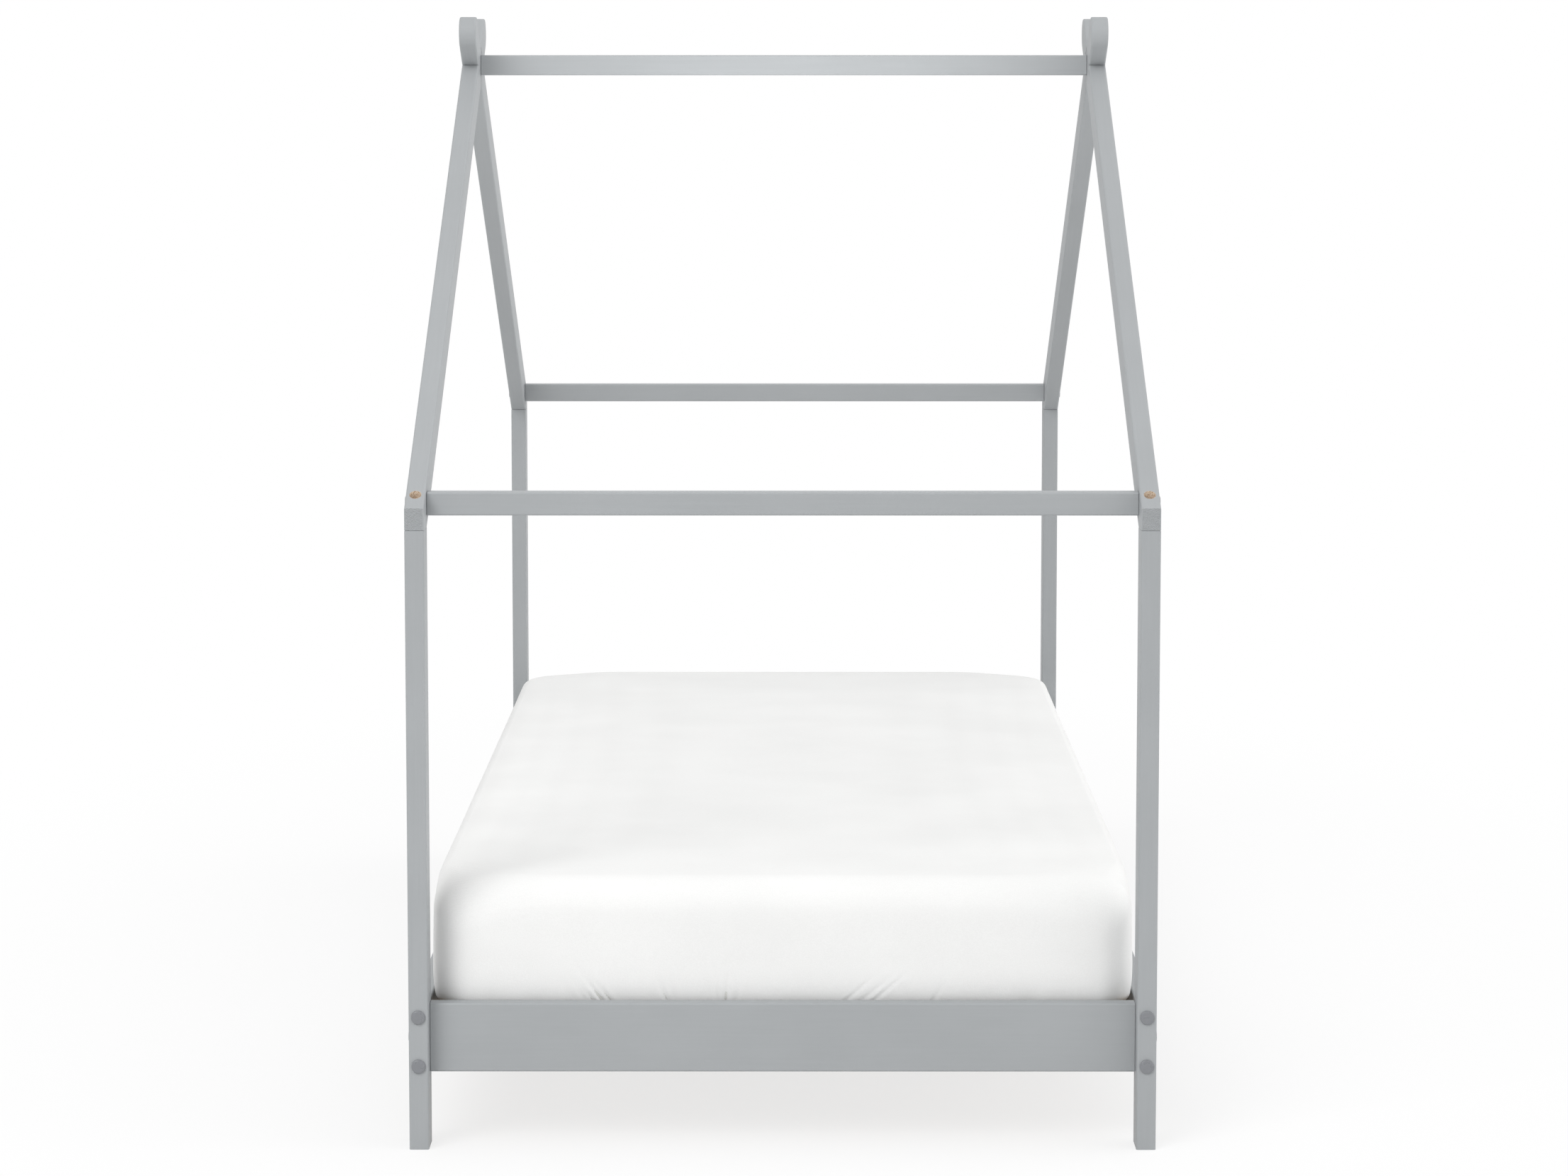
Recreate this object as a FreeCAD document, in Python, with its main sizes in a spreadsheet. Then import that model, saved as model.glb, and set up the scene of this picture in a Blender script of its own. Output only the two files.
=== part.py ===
"""House frame bed, foot end towards -Y, standing on the floor at z = 0.

Frame: origin on the floor under the middle of the bed, X across the bed, Y along it from the foot
to the head, Z up. Lengths are in millimetres and angles in degrees.
"""
import FreeCAD, Part
import math
import os
import Sketcher

Vector = FreeCAD.Vector
Rotation = FreeCAD.Rotation
Placement = FreeCAD.Placement

doc = FreeCAD.newDocument("HouseFrameBed")

# ---------------------------------------------------------------------------------------------
# Driving dimensions
# ---------------------------------------------------------------------------------------------
DIMENSIONS = [
    ("mattress_width", 900, "standard single mattress"),
    ("mattress_length", 2000, "standard single mattress"),
    ("mattress_thickness", 178, "from the slats to the top of the crown"),
    ("mattress_side_play", 5, "room between mattress and posts, each side"),
    ("mattress_end_play", 5, "room between mattress and end rails, each end"),
    ("mattress_corner", 115, "plan radius of a corner"),
    ("mattress_top_roll", 34, "radius of the top edge"),
    ("mattress_bottom_roll", 14, "radius of the bottom edge"),
    ("mattress_crown", 7, "rise of the top from its edge to its middle"),
    ("mattress_side_draw", 3, "how far each side is drawn in between its corners"),
    ("sheet_cloth", 1.5, "thickness of the sheet"),
    ("sheet_ease", 0.3, "gap inside and outside the sheet"),
    ("sheet_hem_turn", 90, "cloth turned under the mattress"),
    ("post_width", 25, "across the bed"),
    ("post_depth", 48, "along the bed"),
    ("post_height", 801, "floor to the rafter's foot"),
    ("rafter_depth", 48, "square to the slope"),
    ("roof_pitch", 29.4, "slope of the rafters, degrees"),
    ("rafter_overrun", 95, "from the crossing to the centre of the round end"),
    ("lap_gap", 0.15, "room in the half-lap, each face"),
    ("edge_round", 2.5, "radius of the long edges of posts, rafters, beams and rails"),
    ("end_arris", 1, "chamfer round a post's top and round the ends of beams and rails"),
    ("beam_depth", 25, "eave and ridge beams, along the bed"),
    ("beam_height", 30, "eave and ridge beams"),
    ("eave_beam_rise", 30, "middle of the eave beam above the rafter's foot"),
    ("end_rail_thickness", 22, ""),
    ("end_rail_recess", 26, "face of the rail behind the face of the post"),
    ("side_rail_thickness", 22, ""),
    ("rail_height", 90, "end rails and side rails"),
    ("rail_clearance", 96, "floor to the underside of the rails"),
    ("ledger_width", 22, ""),
    ("ledger_height", 30, ""),
    ("slat_drop", 20, "top of the slats below the top of the side rails"),
    ("slat_width", 70, ""),
    ("slat_thickness", 12, ""),
    ("slat_count", 14, ""),
    ("slat_end_gap", 5, "end rail to the first slat"),
    ("slat_side_gap", 2, "slat end to the side rail"),
    ("slat_round", 2, "radius of the long edges of slats and ledgers"),
    ("ledger_end_gap", 2, "ledger end to the end rail"),
    ("bolt_radius", 3, "M6 furniture bolt"),
    ("bolt_head_radius", 6, ""),
    ("bolt_head_height", 3.5, ""),
    ("bolt_head_chamfer", 1, ""),
    ("bolt_socket_radius", 2.3, "corner radius of the hex socket"),
    ("bolt_socket_depth", 2.5, ""),
    ("bolt_hole_radius", 3.5, "clearance hole"),
    ("bolt_past_nut", 8, "thread showing past the middle of the barrel nut"),
    ("bolt_tip_room", 3, "hole deeper than the bolt"),
    ("head_bore_radius", 6.5, "counterbore of a capped bolt"),
    ("head_bore_depth", 8, ""),
    ("side_bolt_spread", 32, "each side rail bolt above or below the middle of the rail"),
    ("barrel_radius", 5, "barrel nut"),
    ("barrel_length", 14, ""),
    ("barrel_slot_width", 1.4, "screwdriver slot"),
    ("barrel_slot_depth", 1.5, ""),
    ("barrel_setback", 40, "middle of the barrel nut from the joint"),
    ("thread_gap", 0.1, "bolt to nut, nut to its hole, dowel to its hole"),
    ("cap_radius", 9, "bolt cap"),
    ("cap_height", 3, ""),
    ("cap_rim", 1.6, "width and height of the cap's bevelled rim"),
    ("cap_shoulder", 0.5, "steeper start of the bevel"),
    ("cap_spigot_radius", 6.2, "plug of the cap in the counterbore"),
    ("cap_spigot_length", 2.5, ""),
    ("foot_bolt_place", 26.5, "vertical bolt from the post's face"),
    ("foot_bore_radius", 7.5, "counterbore in the slope of the rafter"),
    ("foot_bore_floor", 20, "wood under the counterbore"),
    ("foot_dowel_place", 40, "dowel of the rafter's foot from the post's face"),
    ("rail_dowel_radius", 4, "dowel of an end rail"),
    ("rail_dowel_spread", 16, "dowel above or below the middle of the rail"),
    ("rail_dowel_in_post", 14, ""),
    ("rail_dowel_in_rail", 18, ""),
    ("frame_dowel_radius", 3, "dowel of a beam or a rafter's foot"),
    ("frame_dowel_drop", 9.5, "dowel below the bolt of a beam"),
    ("frame_dowel_in_side", 12, "length in the rafter"),
    ("frame_dowel_in_end", 16, "length in the beam or the post"),
    ("dowel_chamfer", 0.8, ""),
    ("slat_screw_radius", 1.75, ""),
    ("slat_screw_head_radius", 3.5, ""),
    ("slat_screw_length", 34, ""),
    ("ledger_screw_radius", 2, ""),
    ("ledger_screw_head_radius", 4, ""),
    ("ledger_screw_length", 36, ""),
    ("screw_tip", 3, "length of the point"),
]

sheet = doc.addObject("Spreadsheet::Sheet", "Bed")
for row, (alias, number, note) in enumerate(DIMENSIONS, start=1):
    sheet.set(f"A{row}", alias)
    sheet.set(f"B{row}", str(number))
    sheet.setAlias(f"B{row}", alias)
    sheet.set(f"C{row}", note)
doc.recompute()


def size(expression):
    """The number that an expression on the sheet has now."""
    return float(sheet.evalExpression(expression.replace("Bed.", "")))


# Places that several pieces share, as expressions on the sheet. A side is -1 or 1 (left, right),
# an end is -1 or 1 (foot, head).
INNER_HALF_WIDTH = "(Bed.mattress_width / 2 + Bed.mattress_side_play)"
OUTER_HALF_WIDTH = f"({INNER_HALF_WIDTH} + Bed.post_width)"
POST_X = f"({INNER_HALF_WIDTH} + Bed.post_width / 2)"
INNER_HALF_LENGTH = "(Bed.mattress_length / 2 + Bed.mattress_end_play)"
OUTER_HALF_LENGTH = f"({INNER_HALF_LENGTH} + Bed.end_rail_thickness + Bed.end_rail_recess)"
POST_INNER_Y = f"({OUTER_HALF_LENGTH} - Bed.post_depth)"
POST_Y = f"({OUTER_HALF_LENGTH} - Bed.post_depth / 2)"
END_RAIL_Y = f"({INNER_HALF_LENGTH} + Bed.end_rail_thickness / 2)"
RAIL_Z = "(Bed.rail_clearance + Bed.rail_height / 2)"
SIDE_RAIL_INNER_X = f"({POST_X} - Bed.side_rail_thickness / 2)"
SLAT_TOP_Z = "(Bed.rail_clearance + Bed.rail_height - Bed.slat_drop)"
LEDGER_TOP_Z = f"({SLAT_TOP_Z} - Bed.slat_thickness)"
LEDGER_Z = f"({LEDGER_TOP_Z} - Bed.ledger_height / 2)"
LEDGER_X = f"({SIDE_RAIL_INNER_X} - Bed.ledger_width / 2)"

# The middle line of a rafter, measured from the post's outer face and from the rafter's foot:
# it starts at AXIS_START and climbs at the roof pitch.
AXIS_START = "(Bed.rafter_depth / (2 * cos(Bed.roof_pitch)) - Bed.post_depth * tan(Bed.roof_pitch))"
KINK_RISE = "(Bed.rafter_depth / cos(Bed.roof_pitch) - Bed.post_depth * tan(Bed.roof_pitch))"
RIDGE_RISE = f"({AXIS_START} + {OUTER_HALF_LENGTH} * tan(Bed.roof_pitch))"
RIDGE_Z = f"(Bed.post_height + {RIDGE_RISE})"
EAVE_Z = "(Bed.post_height + Bed.eave_beam_rise)"
EAVE_Y = f"({OUTER_HALF_LENGTH} - (Bed.eave_beam_rise - {AXIS_START}) / tan(Bed.roof_pitch))"

SIDES = [("left", -1), ("right", 1)]
ENDS = [("front", -1), ("rear", 1)]
BOTH_ENDS = (-1, 1)
TOP_END = (1,)
SECTION_PLANE = {"X": "YZ_Plane", "Y": "XZ_Plane", "Z": "XY_Plane"}
DIRECTION = {"X": Vector(1, 0, 0), "Y": Vector(0, 1, 0), "Z": Vector(0, 0, 1)}
NOTHING = "0"
OVERLAP = "1"       # how far a cut runs on into the space behind it
PARALLEL = 0.999    # cosine above which an edge counts as parallel
SAME_PLACE = 1e-6   # distance below which two points count as one

nodes = {}


# ---------------------------------------------------------------------------------------------
# Helpers
# ---------------------------------------------------------------------------------------------
def bind(thing, bindings):
    """Bind properties of a document object to expressions on the sheet."""
    for name, expression in bindings.items():
        thing.setExpression(name, expression)


def place(thing, x, y, z):
    """Bind a placement's base to three expressions."""
    bind(thing, {"Placement.Base.x": x, "Placement.Base.y": y, "Placement.Base.z": z})


def signed(sign, expression):
    return f"{sign} * ({expression})"


def plane_of(body, role):
    return next(feature for feature in body.Origin.OriginFeatures if feature.Role == role)


def outline(body, label, role, corners):
    """A closed outline of straight lines in a body's sketch. Each corner is two expressions."""
    sketch = body.newObject("Sketcher::SketchObject", label)
    sketch.AttachmentSupport = [(plane_of(body, role), "")]
    sketch.MapMode = "FlatFace"
    points = [Vector(size(across), size(up), 0) for across, up in corners]
    following = points[1:] + points[:1]
    sketch.addGeometry([Part.LineSegment(point, after) for point, after in zip(points, following)])
    count = len(points)
    constraints = [Sketcher.Constraint("Coincident", line, 2, (line + 1) % count, 1) for line in range(count)]
    bindings = {}
    for line, (across, up) in enumerate(corners):
        for kind, letter, expression in (("DistanceX", "x", across), ("DistanceY", "y", up)):
            constraint = Sketcher.Constraint(kind, line, 1, size(expression))
            constraint.Name = f"{letter}{line}"
            constraints.append(constraint)
            bindings[f"Constraints.{letter}{line}"] = expression
    sketch.addConstraint(constraints)
    bind(sketch, bindings)
    return sketch


def rectangle(across, up):
    """Corners of a rectangle about its middle."""
    right = f"({across}) / 2"
    top = f"({up}) / 2"
    return [(f"-{right}", f"-{top}"), (right, f"-{top}"), (right, top), (f"-{right}", top)]


def pad(body, sketch, length):
    feature = body.newObject("PartDesign::Pad", sketch.Name + "_pad")
    feature.Profile = sketch
    feature.SideType = "Symmetric"
    feature.setExpression("Length", length)
    return feature


def round_edges(body, feature, chosen, radius):
    """Round the edges of a body's feature that the function chosen accepts."""
    doc.recompute([feature.Profile[0], feature])
    names = [f"Edge{number}" for number, edge in enumerate(feature.Shape.Edges, start=1) if chosen(edge)]
    fillet = body.newObject("PartDesign::Fillet", body.Name + "_round")
    fillet.Base = (feature, names)
    fillet.setExpression("Radius", radius)
    return fillet


def runs_along(axis):
    """Accepts straight edges parallel to an axis."""
    def chosen(edge):
        step = edge.Vertexes[-1].Point - edge.Vertexes[0].Point
        return abs(step.dot(DIRECTION[axis])) > PARALLEL * edge.Length
    return chosen


def ease_ends(body, feature, axis, length, ends):
    """Chamfer the edges round a bar's ends. An end is the sign of its side of the middle."""
    doc.recompute([feature])
    stops = [size(f"{end} * ({length}) / 2") for end in ends]
    names = []
    for number, edge in enumerate(feature.Shape.Edges, start=1):
        places = [vertex.Point.dot(DIRECTION[axis]) for vertex in edge.Vertexes]
        if any(max(abs(there - stop) for there in places) < SAME_PLACE for stop in stops):
            names.append(f"Edge{number}")
    chamfer = body.newObject("PartDesign::Chamfer", body.Name + "_arris")
    chamfer.Base = (feature, names)
    chamfer.setExpression("Size", "Bed.end_arris")


def bar(label, axis, across, up, length, rounding=None, eased=()):
    """A straight bar along an axis, about its own middle, with rounded long edges and eased ends."""
    body = doc.addObject("PartDesign::Body", label)
    sketch = outline(body, label + "_section", SECTION_PLANE[axis], rectangle(across, up))
    feature = pad(body, sketch, length)
    if rounding:
        feature = round_edges(body, feature, runs_along(axis), rounding)
    if eased:
        ease_ends(body, feature, axis, length, eased)
    return body


def drill(label, axis, sign, radius, depth, x, y, z):
    """A round hole that starts at a point and runs along an axis, to its sign's side."""
    hole = doc.addObject("Part::Cylinder", label)
    hole.Placement = Placement(Vector(), Rotation(DIRECTION["Z"], DIRECTION[axis] * sign))
    bind(hole, {"Radius": radius, "Height": depth})
    place(hole, x, y, z)
    return hole


def countersink(label, axis, sign, head_radius, hole_radius, x, y, z):
    """The cone of a screw head, wide at its start."""
    cone = doc.addObject("Part::Cone", label)
    cone.Placement = Placement(Vector(), Rotation(DIRECTION["Z"], DIRECTION[axis] * sign))
    bind(cone, {"Radius1": head_radius, "Radius2": hole_radius, "Height": f"{head_radius} - {hole_radius}"})
    place(cone, x, y, z)
    return cone


def finish(thing, label):
    """Name a finished piece; its label is its node."""
    thing.Label = label
    nodes[label] = thing
    return thing


def drilled(label, blank, holes):
    """A blank less its holes."""
    tools = doc.addObject("Part::MultiFuse", label + "_holes")
    tools.Shapes = holes
    piece = doc.addObject("Part::Cut", label)
    piece.Base = blank
    piece.Tool = tools
    return piece


def cut_away(label, blank, holes):
    """A finished piece: a blank less its holes."""
    return finish(drilled(label + "_piece", blank, holes), label)


def turned(label, corners):
    """A body turned about its own Z axis from an outline of (radius, height) corners."""
    body = doc.addObject("PartDesign::Body", label)
    sketch = outline(body, label + "_outline", "XZ_Plane", corners)
    turn = body.newObject("PartDesign::Revolution", label + "_turn")
    turn.Profile = sketch
    turn.ReferenceAxis = (sketch, ["V_Axis"])
    turn.Angle = 360
    return body


def group(label, pattern, places):
    """Identical fasteners in one node. Each place is a rotation and three expressions."""
    copies = []
    for number, (rotation, x, y, z) in enumerate(places, start=1):
        link = doc.addObject("App::Link", f"{label}_{number:02d}")
        link.LinkedObject = pattern
        link.Placement = Placement(Vector(), rotation)
        place(link, x, y, z)
        copies.append(link)
    together = doc.addObject("Part::Compound", label + "_group")
    together.Links = copies
    return finish(together, label)


def facing(axis, sign):
    """Turns a fastener whose head looks along +Z so that it looks along an axis."""
    return Rotation(DIRECTION["Z"], DIRECTION[axis] * sign)


def barrel_facing(barrel_axis, sign, bolt_axis):
    """Turns a barrel nut: its slot looks along one axis, and its thread runs along another."""
    return Rotation(DIRECTION[bolt_axis], Vector(), DIRECTION[barrel_axis] * sign, "ZXY")


# ---------------------------------------------------------------------------------------------
# Fastener patterns
# ---------------------------------------------------------------------------------------------
def bolt_pattern(label, length):
    """A bolt with its head's seat at z = 0 and a hex socket in the head."""
    corners = [
        ("0", f"-({length})"),
        ("Bed.bolt_radius", f"-({length})"),
        ("Bed.bolt_radius", "0"),
        ("Bed.bolt_head_radius", "0"),
        ("Bed.bolt_head_radius", "Bed.bolt_head_height - Bed.bolt_head_chamfer"),
        ("Bed.bolt_head_radius - Bed.bolt_head_chamfer", "Bed.bolt_head_height"),
        ("0", "Bed.bolt_head_height"),
    ]
    blank = turned(label + "_blank", corners)
    socket = doc.addObject("Part::Prism", label + "_socket")
    socket.Polygon = 6
    bind(socket, {"Circumradius": "Bed.bolt_socket_radius", "Height": "Bed.bolt_socket_depth"})
    place(socket, NOTHING, NOTHING, "Bed.bolt_head_height - Bed.bolt_socket_depth")
    bolt = doc.addObject("Part::Cut", label)
    bolt.Base = blank
    bolt.Tool = socket
    return bolt


def barrel_pattern():
    """A barrel nut about its middle: barrel along Z with its slot on top, thread along X."""
    barrel = doc.addObject("Part::Cylinder", "barrel_blank")
    bind(barrel, {"Radius": "Bed.barrel_radius", "Height": "Bed.barrel_length"})
    place(barrel, NOTHING, NOTHING, "-Bed.barrel_length / 2")
    thread = drill("barrel_thread", "X", 1, "Bed.bolt_radius + Bed.thread_gap", "2 * Bed.barrel_radius",
                   "-Bed.barrel_radius", NOTHING, NOTHING)
    slot = doc.addObject("Part::Box", "barrel_slot")
    bind(slot, {"Length": "2 * Bed.barrel_radius", "Width": "Bed.barrel_slot_width",
                "Height": "Bed.barrel_slot_depth"})
    place(slot, "-Bed.barrel_radius", "-Bed.barrel_slot_width / 2",
          "Bed.barrel_length / 2 - Bed.barrel_slot_depth")
    tools = doc.addObject("Part::Compound", "barrel_tools")
    tools.Links = [thread, slot]
    nut = doc.addObject("Part::Cut", "barrel_nut")
    nut.Base = barrel
    nut.Tool = tools
    return nut


def cap_pattern():
    """A bolt cap: a disc on the wood at z = 0 with a bevelled rim, and a spigot below."""
    return turned("bolt_cap", [
        ("0", "-Bed.cap_spigot_length"),
        ("Bed.cap_spigot_radius", "-Bed.cap_spigot_length"),
        ("Bed.cap_spigot_radius", "0"),
        ("Bed.cap_radius", "0"),
        ("Bed.cap_radius", "Bed.cap_height - Bed.cap_rim"),
        ("Bed.cap_radius - Bed.cap_shoulder", "Bed.cap_height - Bed.cap_shoulder"),
        ("Bed.cap_radius - Bed.cap_rim", "Bed.cap_height"),
        ("0", "Bed.cap_height"),
    ])


def dowel_pattern(label, radius, above, below):
    """A dowel across a joint at z = 0, with chamfered ends."""
    chamfer = "Bed.dowel_chamfer"
    return turned(label, [
        ("0", f"-{below}"),
        (f"{radius} - {chamfer}", f"-{below}"),
        (radius, f"{chamfer} - {below}"),
        (radius, f"{above} - {chamfer}"),
        (f"{radius} - {chamfer}", above),
        ("0", above),
    ])


def screw_pattern(label, radius, head_radius, length):
    """A countersunk screw with the top of its head at z = 0."""
    return turned(label, [
        ("0", f"-{length}"),
        (radius, f"Bed.screw_tip - {length}"),
        (radius, f"{radius} - {head_radius}"),
        (head_radius, "0"),
        ("0", "0"),
    ])


# ---------------------------------------------------------------------------------------------
# Holes that a joint needs
# ---------------------------------------------------------------------------------------------
HOLE = "Bed.bolt_hole_radius"
NUT_HOLE = "Bed.barrel_radius + Bed.thread_gap"
FROM_HEAD = -1  # barrel nuts of posts and beams go in towards -Y, so no hole faces the foot of the bed
BOLT_IN_END = "(Bed.barrel_setback + Bed.bolt_past_nut)"
BOLT_HOLE_IN_END = f"({BOLT_IN_END} + Bed.bolt_tip_room)"
RAIL_DOWEL_HOLE = "Bed.rail_dowel_radius + Bed.thread_gap"
FRAME_DOWEL_HOLE = "Bed.frame_dowel_radius + Bed.thread_gap"


def capped_bolt_holes(label, axis, sign, through, x, y, z):
    """Counterbore and clearance hole from an outer face inwards."""
    return [
        drill(label + "_head", axis, sign, "Bed.head_bore_radius", "Bed.head_bore_depth", x, y, z),
        drill(label + "_shank", axis, sign, HOLE, through, x, y, z),
    ]


def side_bolt_heights():
    return [f"({RAIL_Z} - Bed.side_bolt_spread)", f"({RAIL_Z} + Bed.side_bolt_spread)"]


def rail_dowel_heights():
    return [f"({RAIL_Z} - Bed.rail_dowel_spread)", f"({RAIL_Z} + Bed.rail_dowel_spread)"]


# ---------------------------------------------------------------------------------------------
# Side frames: posts and rafters
# ---------------------------------------------------------------------------------------------
FOOT_BOLT_Y = f"({OUTER_HALF_LENGTH} - Bed.foot_bolt_place)"
FOOT_DOWEL_Y = f"({OUTER_HALF_LENGTH} - Bed.foot_dowel_place)"
FOOT_NUT_Z = "(Bed.post_height - Bed.barrel_setback)"
FOOT_SEAT_Z = "(Bed.post_height + Bed.foot_bore_floor)"


def make_post(side_name, side, end_name, end):
    label = f"post_{end_name}_{side_name}"
    blank = bar(label + "_blank", "Z", "Bed.post_width", "Bed.post_depth", "Bed.post_height",
                "Bed.edge_round", TOP_END)
    place(blank, signed(side, POST_X), signed(end, POST_Y), "Bed.post_height / 2")
    x = signed(side, POST_X)
    outer_x = signed(side, OUTER_HALF_WIDTH)
    inner_x = signed(side, INNER_HALF_WIDTH)
    outer_y = signed(end, OUTER_HALF_LENGTH)
    holes = []
    for number, z in enumerate(side_bolt_heights()):
        holes += capped_bolt_holes(f"{label}_side_{number}", "Y", -end, "Bed.post_depth", x, outer_y, z)
    rail_y = signed(end, END_RAIL_Y)
    holes += capped_bolt_holes(label + "_end", "X", -side, "Bed.post_width", outer_x, rail_y, RAIL_Z)
    for number, z in enumerate(rail_dowel_heights()):
        holes.append(drill(f"{label}_dowel_{number}", "X", side, RAIL_DOWEL_HOLE,
                           "Bed.rail_dowel_in_post", inner_x, rail_y, z))
    foot_bolt_y = signed(end, FOOT_BOLT_Y)
    holes.append(drill(label + "_foot_bolt", "Z", -1, HOLE, BOLT_HOLE_IN_END, x, foot_bolt_y,
                       "Bed.post_height"))
    head_face_y = signed(end, POST_INNER_Y if end < 0 else OUTER_HALF_LENGTH)
    reach = f"{head_face_y} - {foot_bolt_y} + Bed.barrel_length / 2"
    holes.append(drill(label + "_foot_nut", "Y", FROM_HEAD, NUT_HOLE, reach, x, head_face_y, FOOT_NUT_Z))
    holes.append(drill(label + "_foot_dowel", "Z", -1, FRAME_DOWEL_HOLE, "Bed.frame_dowel_in_end", x,
                       signed(end, FOOT_DOWEL_Y), "Bed.post_height"))
    cut_away(label, blank, holes)


def rafter_blank(label):
    """A rafter with its foot's outer corner at the origin, climbing towards +Y."""
    body = doc.addObject("PartDesign::Body", label)
    end_y = f"({OUTER_HALF_LENGTH} + Bed.rafter_overrun * cos(Bed.roof_pitch))"
    end_z = f"({RIDGE_RISE} + Bed.rafter_overrun * sin(Bed.roof_pitch))"
    side_y = "Bed.rafter_depth / 2 * sin(Bed.roof_pitch)"
    side_z = "Bed.rafter_depth / 2 * cos(Bed.roof_pitch)"
    corners = [
        (f"{end_y} + {side_y}", f"{end_z} - {side_z}"),
        (f"{end_y} - {side_y}", f"{end_z} + {side_z}"),
        ("0", KINK_RISE),
        ("0", "0"),
        ("Bed.post_depth", "0"),
    ]
    sketch = outline(body, label + "_outline", "YZ_Plane", corners)
    round_end(sketch, end_y, end_z)
    feature = pad(body, sketch, "Bed.post_width")
    round_edges(body, feature, on_rafter_side, "Bed.edge_round")
    return body


def round_end(sketch, centre_y, centre_z):
    """Turn the first line of the rafter's outline into a half circle about a centre."""
    sketch.toggleConstruction(0)
    centre = Vector(size(centre_y), size(centre_z), 0)
    radius = size("Bed.rafter_depth / 2")
    turn = math.radians(size("Bed.roof_pitch"))
    circle = Part.Circle(centre, Vector(0, 0, 1), radius)
    arc = sketch.addGeometry(Part.ArcOfCircle(circle, turn - math.pi / 2, turn + math.pi / 2))
    sketch.addConstraint(Sketcher.Constraint("Coincident", arc, 1, 0, 1))
    sketch.addConstraint(Sketcher.Constraint("Coincident", arc, 2, 0, 2))
    across = Sketcher.Constraint("DistanceX", arc, 3, centre.x)
    across.Name = "round_end"
    sketch.addConstraint(across)
    sketch.setExpression("Constraints.round_end", centre_y)


def on_rafter_side(edge):
    """Accepts the edges of a rafter's two side faces, but not those of its seat on the post."""
    ends = [vertex.Point for vertex in edge.Vertexes]
    flat = all(abs(abs(point.x) - size("Bed.post_width / 2")) < SAME_PLACE for point in ends)
    crosswise = abs(ends[0].x - ends[-1].x) > SAME_PLACE
    seat = all(abs(point.z) < SAME_PLACE for point in ends)
    return flat and not crosswise and not seat


def lap_cutter(label, side, end):
    """The half of the crossing that the other rafter of the pair fills."""
    cutter = bar(label, "Y", "Bed.post_width", "Bed.rafter_depth + 2 * Bed.lap_gap",
                 "4 * Bed.rafter_depth")
    cutter.Placement = Placement(Vector(), Rotation(DIRECTION["X"], 1))
    cutter.setExpression("Placement.Rotation.Angle", signed(end, "Bed.roof_pitch"))
    # front rafters keep the outer half of the thickness, rear rafters the inner half
    middle = signed(side, f"{POST_X} + {end} * (Bed.post_width / 2 - Bed.lap_gap / 2)")
    place(cutter, middle, NOTHING, RIDGE_Z)
    return cutter


def make_rafter(side_name, side, end_name, end):
    label = f"rafter_{end_name}_{side_name}"
    blank = rafter_blank(label + "_blank")
    blank.Placement = Placement(Vector(), Rotation(DIRECTION["Z"], 0 if end < 0 else 180))
    x = signed(side, POST_X)
    outer_x = signed(side, OUTER_HALF_WIDTH)
    inner_x = signed(side, INNER_HALF_WIDTH)
    place(blank, x, signed(end, OUTER_HALF_LENGTH), "Bed.post_height")
    foot_bolt_y = signed(end, FOOT_BOLT_Y)
    eave_y = signed(end, EAVE_Y)
    holes = [
        lap_cutter(label + "_lap", side, end),
        drill(label + "_foot_bore", "Z", 1, "Bed.foot_bore_radius", "2 * Bed.rafter_depth", x,
              foot_bolt_y, FOOT_SEAT_Z),
        drill(label + "_foot_bolt", "Z", 1, HOLE, f"Bed.foot_bore_floor + {OVERLAP}", x,
              foot_bolt_y, "Bed.post_height"),
        drill(label + "_foot_dowel", "Z", 1, FRAME_DOWEL_HOLE, "Bed.frame_dowel_in_side", x,
              signed(end, FOOT_DOWEL_Y), "Bed.post_height"),
    ]
    for name, y, z in (("eave", eave_y, EAVE_Z), ("ridge", NOTHING, RIDGE_Z)):
        holes += capped_bolt_holes(f"{label}_{name}", "X", -side, "Bed.post_width", outer_x, y, z)
        holes.append(drill(f"{label}_{name}_dowel", "X", side, FRAME_DOWEL_HOLE,
                           "Bed.frame_dowel_in_side", inner_x, y, f"{z} - Bed.frame_dowel_drop"))
    cut_away(label, blank, holes)


# ---------------------------------------------------------------------------------------------
# Beams and rails
# ---------------------------------------------------------------------------------------------
def end_joint_holes(label, side, y, z, nut_face_y, nut_sign, dowels):
    """Holes in one end of a crosswise bar: bolt, barrel nut from one long face, and dowels."""
    end_x = signed(side, INNER_HALF_WIDTH)
    nut_x = signed(side, f"{INNER_HALF_WIDTH} - Bed.barrel_setback")
    reach = f"abs({y} - ({nut_face_y})) + Bed.barrel_length / 2"
    holes = [
        drill(label + "_bolt", "X", -side, HOLE, BOLT_HOLE_IN_END, end_x, y, z),
        drill(label + "_nut", "Y", nut_sign, NUT_HOLE, reach, nut_x, nut_face_y, z),
    ]
    for number, (radius, depth, dowel_z) in enumerate(dowels):
        holes.append(drill(f"{label}_dowel_{number}", "X", -side, radius, depth, end_x, y, dowel_z))
    return holes


def make_beam(label, y, z):
    """A beam between the rafters."""
    blank = bar(label + "_blank", "X", "Bed.beam_depth", "Bed.beam_height", f"2 * {INNER_HALF_WIDTH}",
                "Bed.edge_round", BOTH_ENDS)
    place(blank, NOTHING, y, z)
    head_face_y = f"({y} + Bed.beam_depth / 2)"
    dowel = (FRAME_DOWEL_HOLE, "Bed.frame_dowel_in_end", f"{z} - Bed.frame_dowel_drop")
    holes = []
    for side_name, side in SIDES:
        holes += end_joint_holes(f"{label}_{side_name}", side, y, z, head_face_y, FROM_HEAD, [dowel])
    cut_away(label, blank, holes)


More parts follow.
